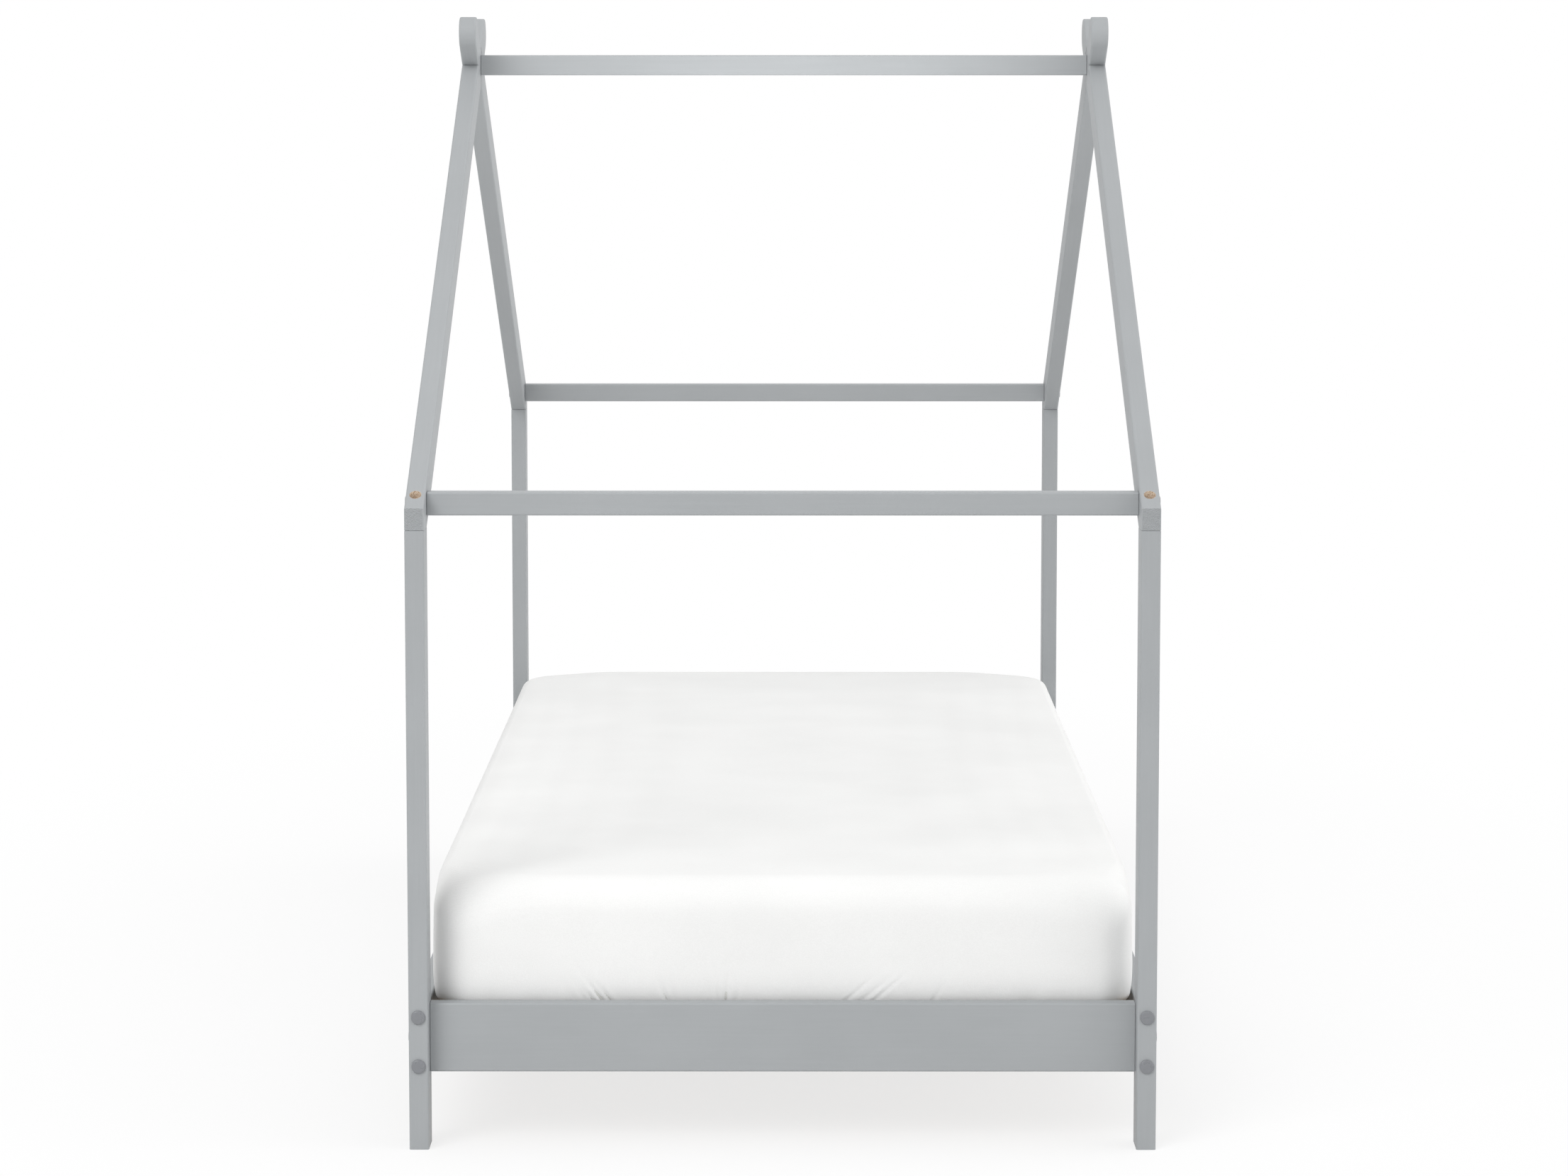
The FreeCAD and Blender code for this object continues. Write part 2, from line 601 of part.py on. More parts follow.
def make_end_rail(end_name, end):
    label = f"end_rail_{end_name}"
    y = signed(end, END_RAIL_Y)
    blank = bar(label + "_blank", "X", "Bed.end_rail_thickness", "Bed.rail_height",
                f"2 * {INNER_HALF_WIDTH}", "Bed.edge_round", BOTH_ENDS)
    place(blank, NOTHING, y, RAIL_Z)
    dowels = [(RAIL_DOWEL_HOLE, "Bed.rail_dowel_in_rail", z) for z in rail_dowel_heights()]
    holes = []
    for side_name, side in SIDES:
        holes += end_joint_holes(f"{label}_{side_name}", side, y, RAIL_Z,
                                 signed(end, INNER_HALF_LENGTH), end, dowels)
    cut_away(label, blank, holes)


def make_side_rail(side_name, side):
    label = f"side_rail_{side_name}"
    x = signed(side, POST_X)
    blank = bar(label + "_blank", "Y", "Bed.side_rail_thickness", "Bed.rail_height",
                f"2 * {POST_INNER_Y}", "Bed.edge_round", BOTH_ENDS)
    place(blank, x, NOTHING, RAIL_Z)
    inner_x = signed(side, SIDE_RAIL_INNER_X)
    reach = "Bed.side_rail_thickness / 2 + Bed.barrel_length / 2"
    holes = []
    for end_name, end in ENDS:
        nut_y = signed(end, f"{POST_INNER_Y} - Bed.barrel_setback")
        for number, z in enumerate(side_bolt_heights()):
            name = f"{label}_{end_name}_{number}"
            holes.append(drill(name + "_bolt", "Y", -end, HOLE, BOLT_HOLE_IN_END, x,
                               signed(end, POST_INNER_Y), z))
            holes.append(drill(name + "_nut", "X", side, NUT_HOLE, reach, inner_x, nut_y, z))
    for number, y in enumerate(ledger_screw_places()):
        depth = "Bed.ledger_screw_length - Bed.ledger_width"
        holes.append(drill(f"{label}_screw_{number}", "X", side, "Bed.ledger_screw_radius + Bed.thread_gap",
                           depth, inner_x, y, LEDGER_Z))
    cut_away(label, blank, holes)


# ---------------------------------------------------------------------------------------------
# Slats and the ledgers that carry them
# ---------------------------------------------------------------------------------------------
SLAT_COUNT = max(2, round(size("Bed.slat_count")))
SLAT_HALF_LENGTH = f"({SIDE_RAIL_INNER_X} - Bed.slat_side_gap)"
FIRST_SLAT_Y = f"(Bed.slat_end_gap + Bed.slat_width / 2 - {INNER_HALF_LENGTH})"
SLAT_PITCH = f"(-2 * {FIRST_SLAT_Y} / {SLAT_COUNT - 1})"
LEDGER_SCREW_STEP = 3


def slat_places():
    return [f"({FIRST_SLAT_Y} + {number} * {SLAT_PITCH})" for number in range(SLAT_COUNT)]


def ledger_screw_places():
    """Every third gap between slats."""
    gaps = range(0, SLAT_COUNT - 1, LEDGER_SCREW_STEP)
    return [f"({FIRST_SLAT_Y} + ({number} + 0.5) * {SLAT_PITCH})" for number in gaps]


def make_ledger(side_name, side):
    label = f"slat_ledger_{side_name}"
    x = signed(side, LEDGER_X)
    blank = bar(label + "_blank", "Y", "Bed.ledger_width", "Bed.ledger_height",
                f"2 * ({INNER_HALF_LENGTH} - Bed.ledger_end_gap)", "Bed.slat_round")
    place(blank, x, NOTHING, LEDGER_Z)
    face_x = signed(side, f"{LEDGER_X} - Bed.ledger_width / 2")
    head = "(Bed.ledger_screw_head_radius + Bed.thread_gap)"
    hole = "(Bed.ledger_screw_radius + Bed.thread_gap)"
    holes = []
    for number, y in enumerate(ledger_screw_places()):
        holes.append(drill(f"{label}_hole_{number}", "X", side, hole, "Bed.ledger_width", face_x, y,
                           LEDGER_Z))
        holes.append(countersink(f"{label}_sink_{number}", "X", side, head, hole, face_x, y, LEDGER_Z))
    depth = "Bed.slat_screw_length - Bed.slat_thickness"
    for number, y in enumerate(slat_places()):
        holes.append(drill(f"{label}_pilot_{number}", "Z", -1, "Bed.slat_screw_radius + Bed.thread_gap",
                           depth, x, y, LEDGER_TOP_Z))
    cut_away(label, blank, holes)


def slat_pattern():
    """A slat about its own middle, with a countersunk screw hole at each end."""
    blank = bar("slat_blank", "X", "Bed.slat_width", "Bed.slat_thickness", f"2 * {SLAT_HALF_LENGTH}",
                "Bed.slat_round")
    top_z = "Bed.slat_thickness / 2"
    head = "(Bed.slat_screw_head_radius + Bed.thread_gap)"
    hole = "(Bed.slat_screw_radius + Bed.thread_gap)"
    holes = []
    for side_name, side in SIDES:
        x = signed(side, LEDGER_X)
        holes.append(drill(f"slat_hole_{side_name}", "Z", -1, hole, "Bed.slat_thickness", x, NOTHING, top_z))
        holes.append(countersink(f"slat_sink_{side_name}", "Z", -1, head, hole, x, NOTHING, top_z))
    return drilled("slat_pattern", blank, holes)


def make_slats():
    pattern = slat_pattern()
    z = f"{SLAT_TOP_Z} - Bed.slat_thickness / 2"
    for number, y in enumerate(slat_places(), start=1):
        group(f"slat_{number:02d}", pattern, [(Rotation(), NOTHING, y, z)])


# ---------------------------------------------------------------------------------------------
# Mattress and fitted sheet
# ---------------------------------------------------------------------------------------------
ROLL_STEPS = 4
CROWN_RINGS = [(60, 0.45), (150, 0.8), (290, 1.0)]  # distance in from the roll, share of the crown there
CORNER_SHARPENING = 0.25  # how much a ring's corner radius shrinks for each millimetre further in
LEAST_STRAIGHT = 1        # half the least straight length left between two corners


def cushion_ring(half_width, half_length, corner, draw, z):
    """A rounded rectangle in plan whose sides are drawn in between its corners."""
    corner = min(corner, half_width - LEAST_STRAIGHT, half_length - LEAST_STRAIGHT)
    diagonal = corner * (1 - math.sqrt(0.5))
    edges = []
    for quarter in range(4):
        near, far = (half_width, half_length) if quarter % 2 == 0 else (half_length, half_width)
        turn = Rotation(DIRECTION["Z"], 90 * quarter)
        start = Vector(near, corner - far, z)
        middle = Vector(near - draw, 0, z)
        stop = Vector(near, far - corner, z)
        bend = Vector(near - diagonal, far - diagonal, z)
        after = Vector(near - corner, far, z)
        edges.append(Part.Arc(*[turn.multVec(point) for point in (start, middle, stop)]).toShape())
        edges.append(Part.Arc(*[turn.multVec(point) for point in (stop, bend, after)]).toShape())
    return Part.Wire(edges)


def cushion(grow):
    """The mattress grown by a distance on every side: rolled edges and a crowned top."""
    half_width = size("Bed.mattress_width") / 2 - size("Bed.sheet_cloth") - size("Bed.sheet_ease") + grow
    half_length = size("Bed.mattress_length") / 2 - size("Bed.sheet_cloth") - size("Bed.sheet_ease") + grow
    corner = size("Bed.mattress_corner") + grow
    draw = size("Bed.mattress_side_draw")
    low = size(SLAT_TOP_Z) + 2 * size("Bed.sheet_ease") + size("Bed.sheet_cloth") - grow
    crown = size("Bed.mattress_crown")
    high = size(SLAT_TOP_Z) + size("Bed.mattress_thickness") - crown + grow
    bottom_roll = size("Bed.mattress_bottom_roll") + grow
    top_roll = size("Bed.mattress_top_roll") + grow
    rings = []
    for step in range(ROLL_STEPS + 1):
        angle = math.pi / 2 * step / ROLL_STEPS
        rings.append((bottom_roll * (1 - math.sin(angle)), low + bottom_roll * (1 - math.cos(angle))))
    for step in range(ROLL_STEPS + 1):
        angle = math.pi / 2 * step / ROLL_STEPS
        rings.append((top_roll * (1 - math.cos(angle)), high - top_roll * (1 - math.sin(angle))))
    for inset, share in CROWN_RINGS:
        rings.append((top_roll + inset, high + crown * share))
    wires = []
    for inset, z in rings:
        ring_corner = corner - CORNER_SHARPENING * inset
        wires.append(cushion_ring(half_width - inset, half_length - inset, ring_corner, draw, z))
    return Part.makeLoft(wires, True, True)


def make_mattress():
    mattress = doc.addObject("Part::Feature", "mattress_piece")
    mattress.Shape = cushion(0)
    finish(mattress, "mattress")


def make_fitted_sheet():
    """A shell of cloth round the mattress, open below inside its turned-under hem."""
    ease = size("Bed.sheet_ease")
    outer = cushion(ease + size("Bed.sheet_cloth"))
    inner = cushion(ease)
    turn = size("Bed.sheet_hem_turn")
    low = size(SLAT_TOP_Z)
    opening = cushion_ring(size("Bed.mattress_width") / 2 - turn, size("Bed.mattress_length") / 2 - turn,
                           size("Bed.mattress_corner"), size("Bed.mattress_side_draw"), low)
    reach = size("Bed.mattress_thickness") / 2
    under = Part.Face(opening).extrude(Vector(0, 0, reach))
    fitted = doc.addObject("Part::Feature", "fitted_sheet_piece")
    fitted.Shape = outer.cut(inner).cut(under)
    finish(fitted, "fitted_sheet")


# ---------------------------------------------------------------------------------------------
# Fasteners
# ---------------------------------------------------------------------------------------------
def corner_places():
    return [(side, end) for _, side in SIDES for _, end in ENDS]


def make_side_rail_fasteners():
    length = f"(Bed.post_depth - Bed.head_bore_depth + {BOLT_IN_END})"
    bolts, nuts, caps = [], [], []
    for side, end in corner_places():
        x = signed(side, POST_X)
        nut_y = signed(end, f"{POST_INNER_Y} - Bed.barrel_setback")
        seat_y = signed(end, f"{OUTER_HALF_LENGTH} - Bed.head_bore_depth")
        for z in side_bolt_heights():
            bolts.append((facing("Y", end), x, seat_y, z))
            nuts.append((barrel_facing("X", -side, "Y"), x, nut_y, z))
            caps.append((facing("Y", end), x, signed(end, OUTER_HALF_LENGTH), z))
    group("side_rail_bolts", bolt_pattern("side_rail_bolt", length), bolts)
    group("side_rail_barrel_nuts", BARREL_NUT, nuts)
    group("side_rail_bolt_caps", BOLT_CAP, caps)


def make_cross_fasteners(name, length, joints):
    """Bolts, barrel nuts and caps of crosswise bars. A joint is a side, y, z and the nut's sign."""
    bolts, nuts, caps = [], [], []
    for side, y, z, nut_sign in joints:
        seat_x = signed(side, f"{OUTER_HALF_WIDTH} - Bed.head_bore_depth")
        nut_x = signed(side, f"{INNER_HALF_WIDTH} - Bed.barrel_setback")
        bolts.append((facing("X", side), seat_x, y, z))
        nuts.append((barrel_facing("Y", -nut_sign, "X"), nut_x, y, z))
        caps.append((facing("X", side), signed(side, OUTER_HALF_WIDTH), y, z))
    group(f"{name}_bolts", bolt_pattern(f"{name}_bolt", length), bolts)
    group(f"{name}_barrel_nuts", BARREL_NUT, nuts)
    group(f"{name}_bolt_caps", BOLT_CAP, caps)


def make_end_rail_fasteners():
    joints = [(side, signed(end, END_RAIL_Y), RAIL_Z, end) for side, end in corner_places()]
    make_cross_fasteners("end_rail", CROSS_BOLT, joints)
    dowel = dowel_pattern("end_rail_dowel", "Bed.rail_dowel_radius", "Bed.rail_dowel_in_post",
                          "Bed.rail_dowel_in_rail")
    places = []
    for side, end in corner_places():
        for z in rail_dowel_heights():
            places.append((facing("X", side), signed(side, INNER_HALF_WIDTH), signed(end, END_RAIL_Y), z))
    group("end_rail_dowels", dowel, places)


def make_beam_fasteners():
    eave = [(side, signed(end, EAVE_Y), EAVE_Z, FROM_HEAD) for side, end in corner_places()]
    ridge = [(side, NOTHING, RIDGE_Z, FROM_HEAD) for _, side in SIDES]
    dowel = dowel_pattern("beam_dowel", "Bed.frame_dowel_radius", "Bed.frame_dowel_in_side",
                          "Bed.frame_dowel_in_end")
    for name, joints in (("eave_beam", eave), ("ridge_beam", ridge)):
        make_cross_fasteners(name, CROSS_BOLT, joints)
        places = []
        for side, y, z, _ in joints:
            places.append((facing("X", side), signed(side, INNER_HALF_WIDTH), y,
                           f"{z} - Bed.frame_dowel_drop"))
        group(f"{name}_dowels", dowel, places)


def make_post_top_fasteners():
    bolts, nuts, dowels = [], [], []
    for side, end in corner_places():
        x = signed(side, POST_X)
        y = signed(end, FOOT_BOLT_Y)
        bolts.append((facing("Z", 1), x, y, FOOT_SEAT_Z))
        nuts.append((barrel_facing("Y", -FROM_HEAD, "Z"), x, y, FOOT_NUT_Z))
        dowels.append((facing("Z", 1), x, signed(end, FOOT_DOWEL_Y), "Bed.post_height"))
    length = f"(Bed.foot_bore_floor + {BOLT_IN_END})"
    group("post_top_bolts", bolt_pattern("post_top_bolt", length), bolts)
    group("post_top_barrel_nuts", BARREL_NUT, nuts)
    dowel = dowel_pattern("post_top_dowel", "Bed.frame_dowel_radius", "Bed.frame_dowel_in_side",
                          "Bed.frame_dowel_in_end")
    group("post_top_dowels", dowel, dowels)


def make_slat_fasteners():
    slat_screw = screw_pattern("slat_screw", "Bed.slat_screw_radius", "Bed.slat_screw_head_radius",
                               "Bed.slat_screw_length")
    ledger_screw = screw_pattern("ledger_screw", "Bed.ledger_screw_radius", "Bed.ledger_screw_head_radius",
                                 "Bed.ledger_screw_length")
    in_slats, in_ledgers = [], []
    for _, side in SIDES:
        for y in slat_places():
            in_slats.append((facing("Z", 1), signed(side, LEDGER_X), y, SLAT_TOP_Z))
        face_x = signed(side, f"{LEDGER_X} - Bed.ledger_width / 2")
        for y in ledger_screw_places():
            in_ledgers.append((facing("X", -side), face_x, y, LEDGER_Z))
    group("slat_screws", slat_screw, in_slats)
    group("ledger_screws", ledger_screw, in_ledgers)


# ---------------------------------------------------------------------------------------------
# The bed
# ---------------------------------------------------------------------------------------------
CROSS_BOLT = f"(Bed.post_width - Bed.head_bore_depth + {BOLT_IN_END})"
BARREL_NUT = barrel_pattern()
BOLT_CAP = cap_pattern()

for side_name, side in SIDES:
    for end_name, end in ENDS:
        make_post(side_name, side, end_name, end)
        make_rafter(side_name, side, end_name, end)
    make_side_rail(side_name, side)
    make_ledger(side_name, side)
for end_name, end in ENDS:
    make_end_rail(end_name, end)
    make_beam(f"eave_beam_{end_name}", signed(end, EAVE_Y), EAVE_Z)
make_beam("ridge_beam", NOTHING, RIDGE_Z)
make_slats()
make_mattress()
make_fitted_sheet()
make_side_rail_fasteners()
make_end_rail_fasteners()
make_post_top_fasteners()
make_beam_fasteners()
make_slat_fasteners()
doc.recompute()

for thing in doc.Objects:
    if "Invalid" in thing.State or "Error" in thing.State:
        raise RuntimeError(f"{thing.Label} failed: {thing.State}")
for label, thing in nodes.items():
    shape = thing.Shape
    if shape.isNull() or not shape.isValid() or not shape.Solids:
        raise RuntimeError(f"{label} has no valid solid")

os.makedirs("parts", exist_ok=True)
for label, thing in nodes.items():
    thing.Shape.exportStep(f"parts/{label}.step")
    print(f"{label}: {len(thing.Shape.Solids)} solids, {thing.Shape.Volume / 1000:.1f} cm3")
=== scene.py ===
"""Looks of the house frame bed: painted frame, bolt caps, slats, mattress and fitted sheet.

Lengths are in metres in the frame's own axes: X across the bed, Y from the foot to the head, Z up.
"""
import math
import random

import bmesh
import bpy
import numpy as np
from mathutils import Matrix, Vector
from mathutils.bvhtree import BVHTree


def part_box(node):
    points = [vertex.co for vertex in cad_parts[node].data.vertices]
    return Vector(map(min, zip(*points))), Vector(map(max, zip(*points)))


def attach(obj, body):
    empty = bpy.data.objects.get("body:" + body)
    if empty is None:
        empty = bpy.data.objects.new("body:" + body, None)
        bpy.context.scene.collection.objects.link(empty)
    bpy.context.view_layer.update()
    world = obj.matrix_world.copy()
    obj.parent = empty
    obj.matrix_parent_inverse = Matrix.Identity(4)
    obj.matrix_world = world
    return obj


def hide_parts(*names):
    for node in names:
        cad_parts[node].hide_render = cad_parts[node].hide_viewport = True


bl_info = {
    "name": "House Frame Bed",
    "version": (1, 0, 0),
    "blender": (4, 5, 0),
    "location": "View3D > Sidebar > Bed",
    "description": "Finishes a house-shaped bed frame and makes its bolt caps, mattress and fitted sheet",
    "category": "Object",
}

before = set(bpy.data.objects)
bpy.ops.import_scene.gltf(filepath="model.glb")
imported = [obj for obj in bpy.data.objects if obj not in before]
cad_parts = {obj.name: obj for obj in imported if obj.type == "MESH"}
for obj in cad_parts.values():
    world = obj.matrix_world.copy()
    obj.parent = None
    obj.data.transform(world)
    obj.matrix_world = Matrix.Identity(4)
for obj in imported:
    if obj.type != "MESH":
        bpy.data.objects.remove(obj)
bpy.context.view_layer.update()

# ---- Places and sizes that come from the frame ----
SIDES = ("left", "right")
ENDS = ("front", "rear")
POSTS = [f"post_{end}_{side}" for end in ENDS for side in SIDES]
FRONT_RAFTERS = [f"rafter_front_{side}" for side in SIDES]
REAR_RAFTERS = [f"rafter_rear_{side}" for side in SIDES]
BEAMS = ["eave_beam_front", "eave_beam_rear", "ridge_beam"]
END_RAILS = [f"end_rail_{end}" for end in ENDS]
SIDE_RAILS = [f"side_rail_{side}" for side in SIDES]
LEDGERS = [f"slat_ledger_{side}" for side in SIDES]
SLATS = sorted(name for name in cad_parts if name.startswith("slat_") and name[5:].isdigit())
STEEL = [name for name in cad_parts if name.endswith(("bolts", "barrel_nuts", "screws"))]
DOWELS = [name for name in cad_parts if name.endswith("dowels")]
CAPS = ["side_rail_bolt_caps", "end_rail_bolt_caps", "eave_beam_bolt_caps", "ridge_beam_bolt_caps"]

POST_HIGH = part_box("post_rear_right")[1]
MATTRESS_LOW, MATTRESS_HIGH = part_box("mattress")
SHEET_LOW, SHEET_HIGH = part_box("fitted_sheet")
SLAT_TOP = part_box("slat_01")[1].z
ROOF_PITCH = math.radians(29.4)

# sizes inside the boxes of the CAD pieces
BARREL_RADIUS = 0.005
BARREL_LENGTH = 0.014
BOLT_HEAD_RADIUS = 0.006
BOLT_HEAD_HEIGHT = 0.0035
FOOT_BORE_RADIUS = 0.0075
FOOT_BORE_REACH = 0.06
CAP_RADIUS = 0.009
PAINT_RIM = 0.00015  # how far bare wood reaches past the wall of a bore


def linear(red, green, blue):
    """A colour given as 0 to 255 on a screen, as the shader's linear values."""
    def value(level):
        share = level / 255
        return share / 12.92 if share <= 0.04045 else ((share + 0.055) / 1.055) ** 2.4
    return (value(red), value(green), value(blue))


# ---- What a user would change ----
def colour(name, description, shade):
    return bpy.props.FloatVectorProperty(
        name=name, description=description, subtype="COLOR", size=3, min=0.0, max=1.0,
        default=linear(*shade))


def number(name, description, default, **more):
    return bpy.props.FloatProperty(name=name, description=description, min=0.0, default=default, **more)


def length(name, description, default):
    return number(name, description, default, subtype="DISTANCE", unit="LENGTH", precision=4)


def share(name, description, default):
    return number(name, description, default, subtype="FACTOR", max=1.0)


def power(name, description, default):
    return number(name, description, default, unit="POWER")


class PaintSettings(bpy.types.PropertyGroup):
    paint: colour("Paint", "Satin paint of the frame", (164, 167, 169))
    # The deep paint colour is the thick coat's random tone, and also the painted shade in the grooves of
    # the rafters' sawn rings
    deep_paint_and_ring_shade: colour("Paint, deep", "The same paint where the coat is thick", (160, 163, 165))
    raw_wood: colour("Raw wood", "Wood inside the bores, where no paint reaches", (214, 197, 177))
    raw_grain: colour("Raw grain", "Dark streaks of the wood inside the bores", (166, 140, 116))
    roughness: share("Roughness", "Roughness of the paint", 0.48)
    gloss: share("Gloss", "Strength of what the paint reflects", 0.2)
    grain_depth: length("Grain depth", "Height of the wood grain that shows through the paint", 0.00012)
    ring_spacing: length("Ring spacing", "Growth rings on the sawn foot of a rafter", 0.0019)


class WoodSettings(bpy.types.PropertyGroup):
    light: colour("Light wood", "Early wood of the slats", (222, 196, 158))
    dark: colour("Dark wood", "Late wood of the slats", (190, 152, 108))
    dowel: colour("Dowels", "Beech of the dowels", (214, 182, 146))
    steel: colour("Zinc", "Bolts, barrel nuts and screws", (186, 188, 190))


class CapSettings(bpy.types.PropertyGroup):
    plastic: colour("Cap", "Grey plastic of the bolt caps", (128, 130, 134))
    radius: length("Radius", "Radius of a cap", CAP_RADIUS)
    height: length("Height", "How far a cap stands on the wood", 0.003)
    squareness: share("Squareness", "0 is a square rim, 1 a half ellipse", 0.3)
    segments: bpy.props.IntProperty(name="Segments", description="Steps round a cap", min=8, default=48)


class BeddingSettings(bpy.types.PropertyGroup):
    cotton: colour("Cotton", "Colour of the sheet", (238, 238, 237))
    ticking: colour("Ticking", "Colour of the mattress cover", (226, 226, 222))
    corner: length("Corner", "Plan radius of a corner", 0.046)
    side_roll: length("Side roll", "Radius of the top edge along a side", 0.016)
    end_roll: length("End roll", "Radius of the top edge across an end", 0.044)
    corner_roll: length("Corner roll", "What the top edge gains at a corner", 0.022)
    corner_drop: length("Corner drop", "How far the sheet pulls a corner down", 0.008)
    bottom_roll: length("Bottom roll", "Radius of the bottom edge", 0.012)
    crown: length("Crown", "Rise of the top from its edge to its middle", 0.0015)
    hem_turn: length("Hem turn", "Cloth turned under the mattress", 0.09)
    cloth: length("Cloth", "Thickness of the sheet", 0.0008)
    pressure: number("Pressure", "Pressure that fills the mattress", 4.0)


class StageSettings(bpy.types.PropertyGroup):
    floor_radius: length("Floor", "Radius of the floor", 14.0)
    key_power: power("Key", "Soft light from high in front, on the left", 800.0)
    ridge_power: power("Ridge", "Spot on the middle of the ridge beam", 20.0)
    sky: number("Sky", "Light from all round", 0.05)
    ceiling: number("Ceiling", "Light from above, on top of the sky's", 1.0)
    wall: number("Wall", "Light from the right, on top of the sky's", 2.6)
    lens: number("Lens", "Focal length", 96.27, unit="CAMERA")


# ---- Shader helpers ----
COLOUR_A, COLOUR_B, COLOUR_RESULT = 6, 7, 2   # a Mix node's sockets for colours


def wire(tree, node, inputs):
    """Give a node's inputs their values: numbers, colours or other nodes' output sockets."""
    for socket, value in inputs.items():
        if isinstance(value, bpy.types.NodeSocket):
            tree.links.new(value, node.inputs[socket])
        else:
            node.inputs[socket].default_value = value


def add_node(tree, kind, inputs=None, **settings):
    """A new node with its settings and then its inputs."""
    made = tree.nodes.new(kind)
    for name, value in settings.items():
        setattr(made, name, value)
    wire(tree, made, inputs or {})
    return made


def maths(tree, operation, *values):
    """A number worked out from numbers or sockets."""
    return add_node(tree, "ShaderNodeMath", dict(enumerate(values)), operation=operation).outputs[0]


def times(tree, first, second):
    return maths(tree, "MULTIPLY", first, second)


def plus(tree, first, *others):
    for other in others:
        first = maths(tree, "ADD", first, other)
    return first


def mixture(tree, *parts):
    """The sum of (value, share) pairs."""
    return plus(tree, *(times(tree, value, part) for value, part in parts))


def vector_maths(tree, operation, *values):
    made = add_node(tree, "ShaderNodeVectorMath", dict(enumerate(values)), operation=operation)
    return made.outputs["Value" if operation == "LENGTH" else "Vector"]


def length_of(tree, vector, scale):
    """Length of a vector after its axes are scaled."""
    return vector_maths(tree, "LENGTH", vector_maths(tree, "MULTIPLY", vector, scale))


def noise(tree, place, scale, detail=2.0, roughness=0.5):
    made = add_node(tree, "ShaderNodeTexNoise",
                    {"Vector": place, "Scale": scale, "Detail": detail, "Roughness": roughness})
    return made.outputs["Fac"]


def waves(tree, place, direction, scale, distortion):
    made = add_node(tree, "ShaderNodeTexWave", {
        "Vector": place, "Scale": scale, "Distortion": distortion, "Detail": 1.0},
        bands_direction=direction)
    return made.outputs["Fac"]


def parts_of(tree, vector):
    """The outputs X, Y and Z of a vector."""
    return add_node(tree, "ShaderNodeSeparateXYZ", {"Vector": vector}).outputs


def joined(tree, x, y, z):
    return add_node(tree, "ShaderNodeCombineXYZ", {"X": x, "Y": y, "Z": z}).outputs["Vector"]


def stretched(tree, place, turn, scale):
    """Coordinates turned until a piece's length lies along X, and then scaled."""
    turned = add_node(tree, "ShaderNodeMapping", {"Vector": place, "Rotation": turn}).outputs["Vector"]
    return vector_maths(tree, "MULTIPLY", turned, scale)


def between(tree, factor, low, high):
    """A socket's value moved from 0..1 to low..high."""
    return add_node(tree, "ShaderNodeMapRange",
                    {"Value": factor, "To Min": low, "To Max": high}).outputs["Result"]


def step_up(tree, value, low, high):
    """0 below low, 1 above high, smooth between them."""
    return add_node(tree, "ShaderNodeMapRange", {"Value": value, "From Min": low, "From Max": high},
                    interpolation_type="SMOOTHSTEP").outputs["Result"]


def blended(tree, factor, first, second):
    """Two colours mixed by a factor."""
    made = add_node(tree, "ShaderNodeMix", {"Factor": factor}, data_type="RGBA")
    wire(tree, made, {socket: value if isinstance(value, bpy.types.NodeSocket) else (*value, 1.0)
                      for socket, value in ((COLOUR_A, first), (COLOUR_B, second))})
    return made.outputs[COLOUR_RESULT]


def darker(shade, share):
    return tuple(share * value for value in shade)


def new_finish(name):
    """A material, its node tree, and the coordinates of the object that wears it."""
    material = bpy.data.materials.new(name)
    material.use_nodes = True
    tree = material.node_tree
    return material, tree, add_node(tree, "ShaderNodeTexCoord").outputs["Object"]


def finished(material, height, depth, inputs):
    """The material with its shader's inputs and a bump whose height of 1 stands for a depth."""
    tree = material.node_tree
    bump = add_node(tree, "ShaderNodeBump", {"Height": height, "Distance": depth, "Strength": 1.0})
    wire(tree, tree.nodes["Principled BSDF"], {**inputs, "Normal": bump.outputs["Normal"]})
    return material


def in_bore(tree, place, bore):
    """1 inside a round bore, 0 elsewhere."""
    axis, middle, radius, half_length = bore
    offset = vector_maths(tree, "SUBTRACT", place, middle)
    inside = []
    for on_axis, reach in ((False, radius), (True, half_length)):
        kept = [float((letter == axis) == on_axis) for letter in "XYZ"]
        inside.append(maths(tree, "LESS_THAN", length_of(tree, offset, kept), reach))
    return times(tree, *inside)


# ---- Painted frame ----
FIBRE_SCALE = (9.0, 260.0, 260.0)   # grain is long along the piece and fine across it
PORE_SCALE = (60.0, 900.0, 900.0)
STREAK_SCALE = (90.0, 900.0, 900.0)  # streaks of the bare wood in a bore
PEEL_SCALE = 750.0                  # ripples of the spray coat per metre
CLOUD_SCALE = 7.0
PITH = (0.452, 0.0, 0.772)          # middle of the growth rings on a rafter's sawn foot
RING_DEPTH = 0.0005
RING_WAVER = 0.0022                 # how far a ring strays from a circle
GROOVE_SHADE = 0.35                 # painted shade: how much darker the paint is in the groove between two rings
BARE_ROUGHNESS = 0.4                # what bare wood is rougher than paint
END_FACE = 0.0003                   # how near a point lies to the sawn face


def bore(axis, centre, mouth, floor, radius):
    """The walls and floor of a bore along an axis, without the face round its mouth."""
    middle = Vector(centre)
    rim = math.copysign(PAINT_RIM, mouth - floor)
    middle["XYZ".index(axis)] = (mouth + floor) / 2 - rim
    return axis, middle, radius + PAINT_RIM, abs(mouth - floor) / 2


def nut_bore(nuts, host, opens):
    """The bore of a host's barrel nut. It opens towards +Y or -Y."""
    low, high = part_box(nuts)
    host_low, host_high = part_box(host)
    reach = BARREL_LENGTH / 2
    nut_y = low.y + reach if host_low.y + host_high.y < 0 else high.y - reach
    centre = (high.x - BARREL_RADIUS, 0.0, (low.z + high.z) / 2)
    mouth = host_high.y if opens > 0 else host_low.y
    return bore("Y", centre, mouth, nut_y - opens * reach, BARREL_RADIUS)


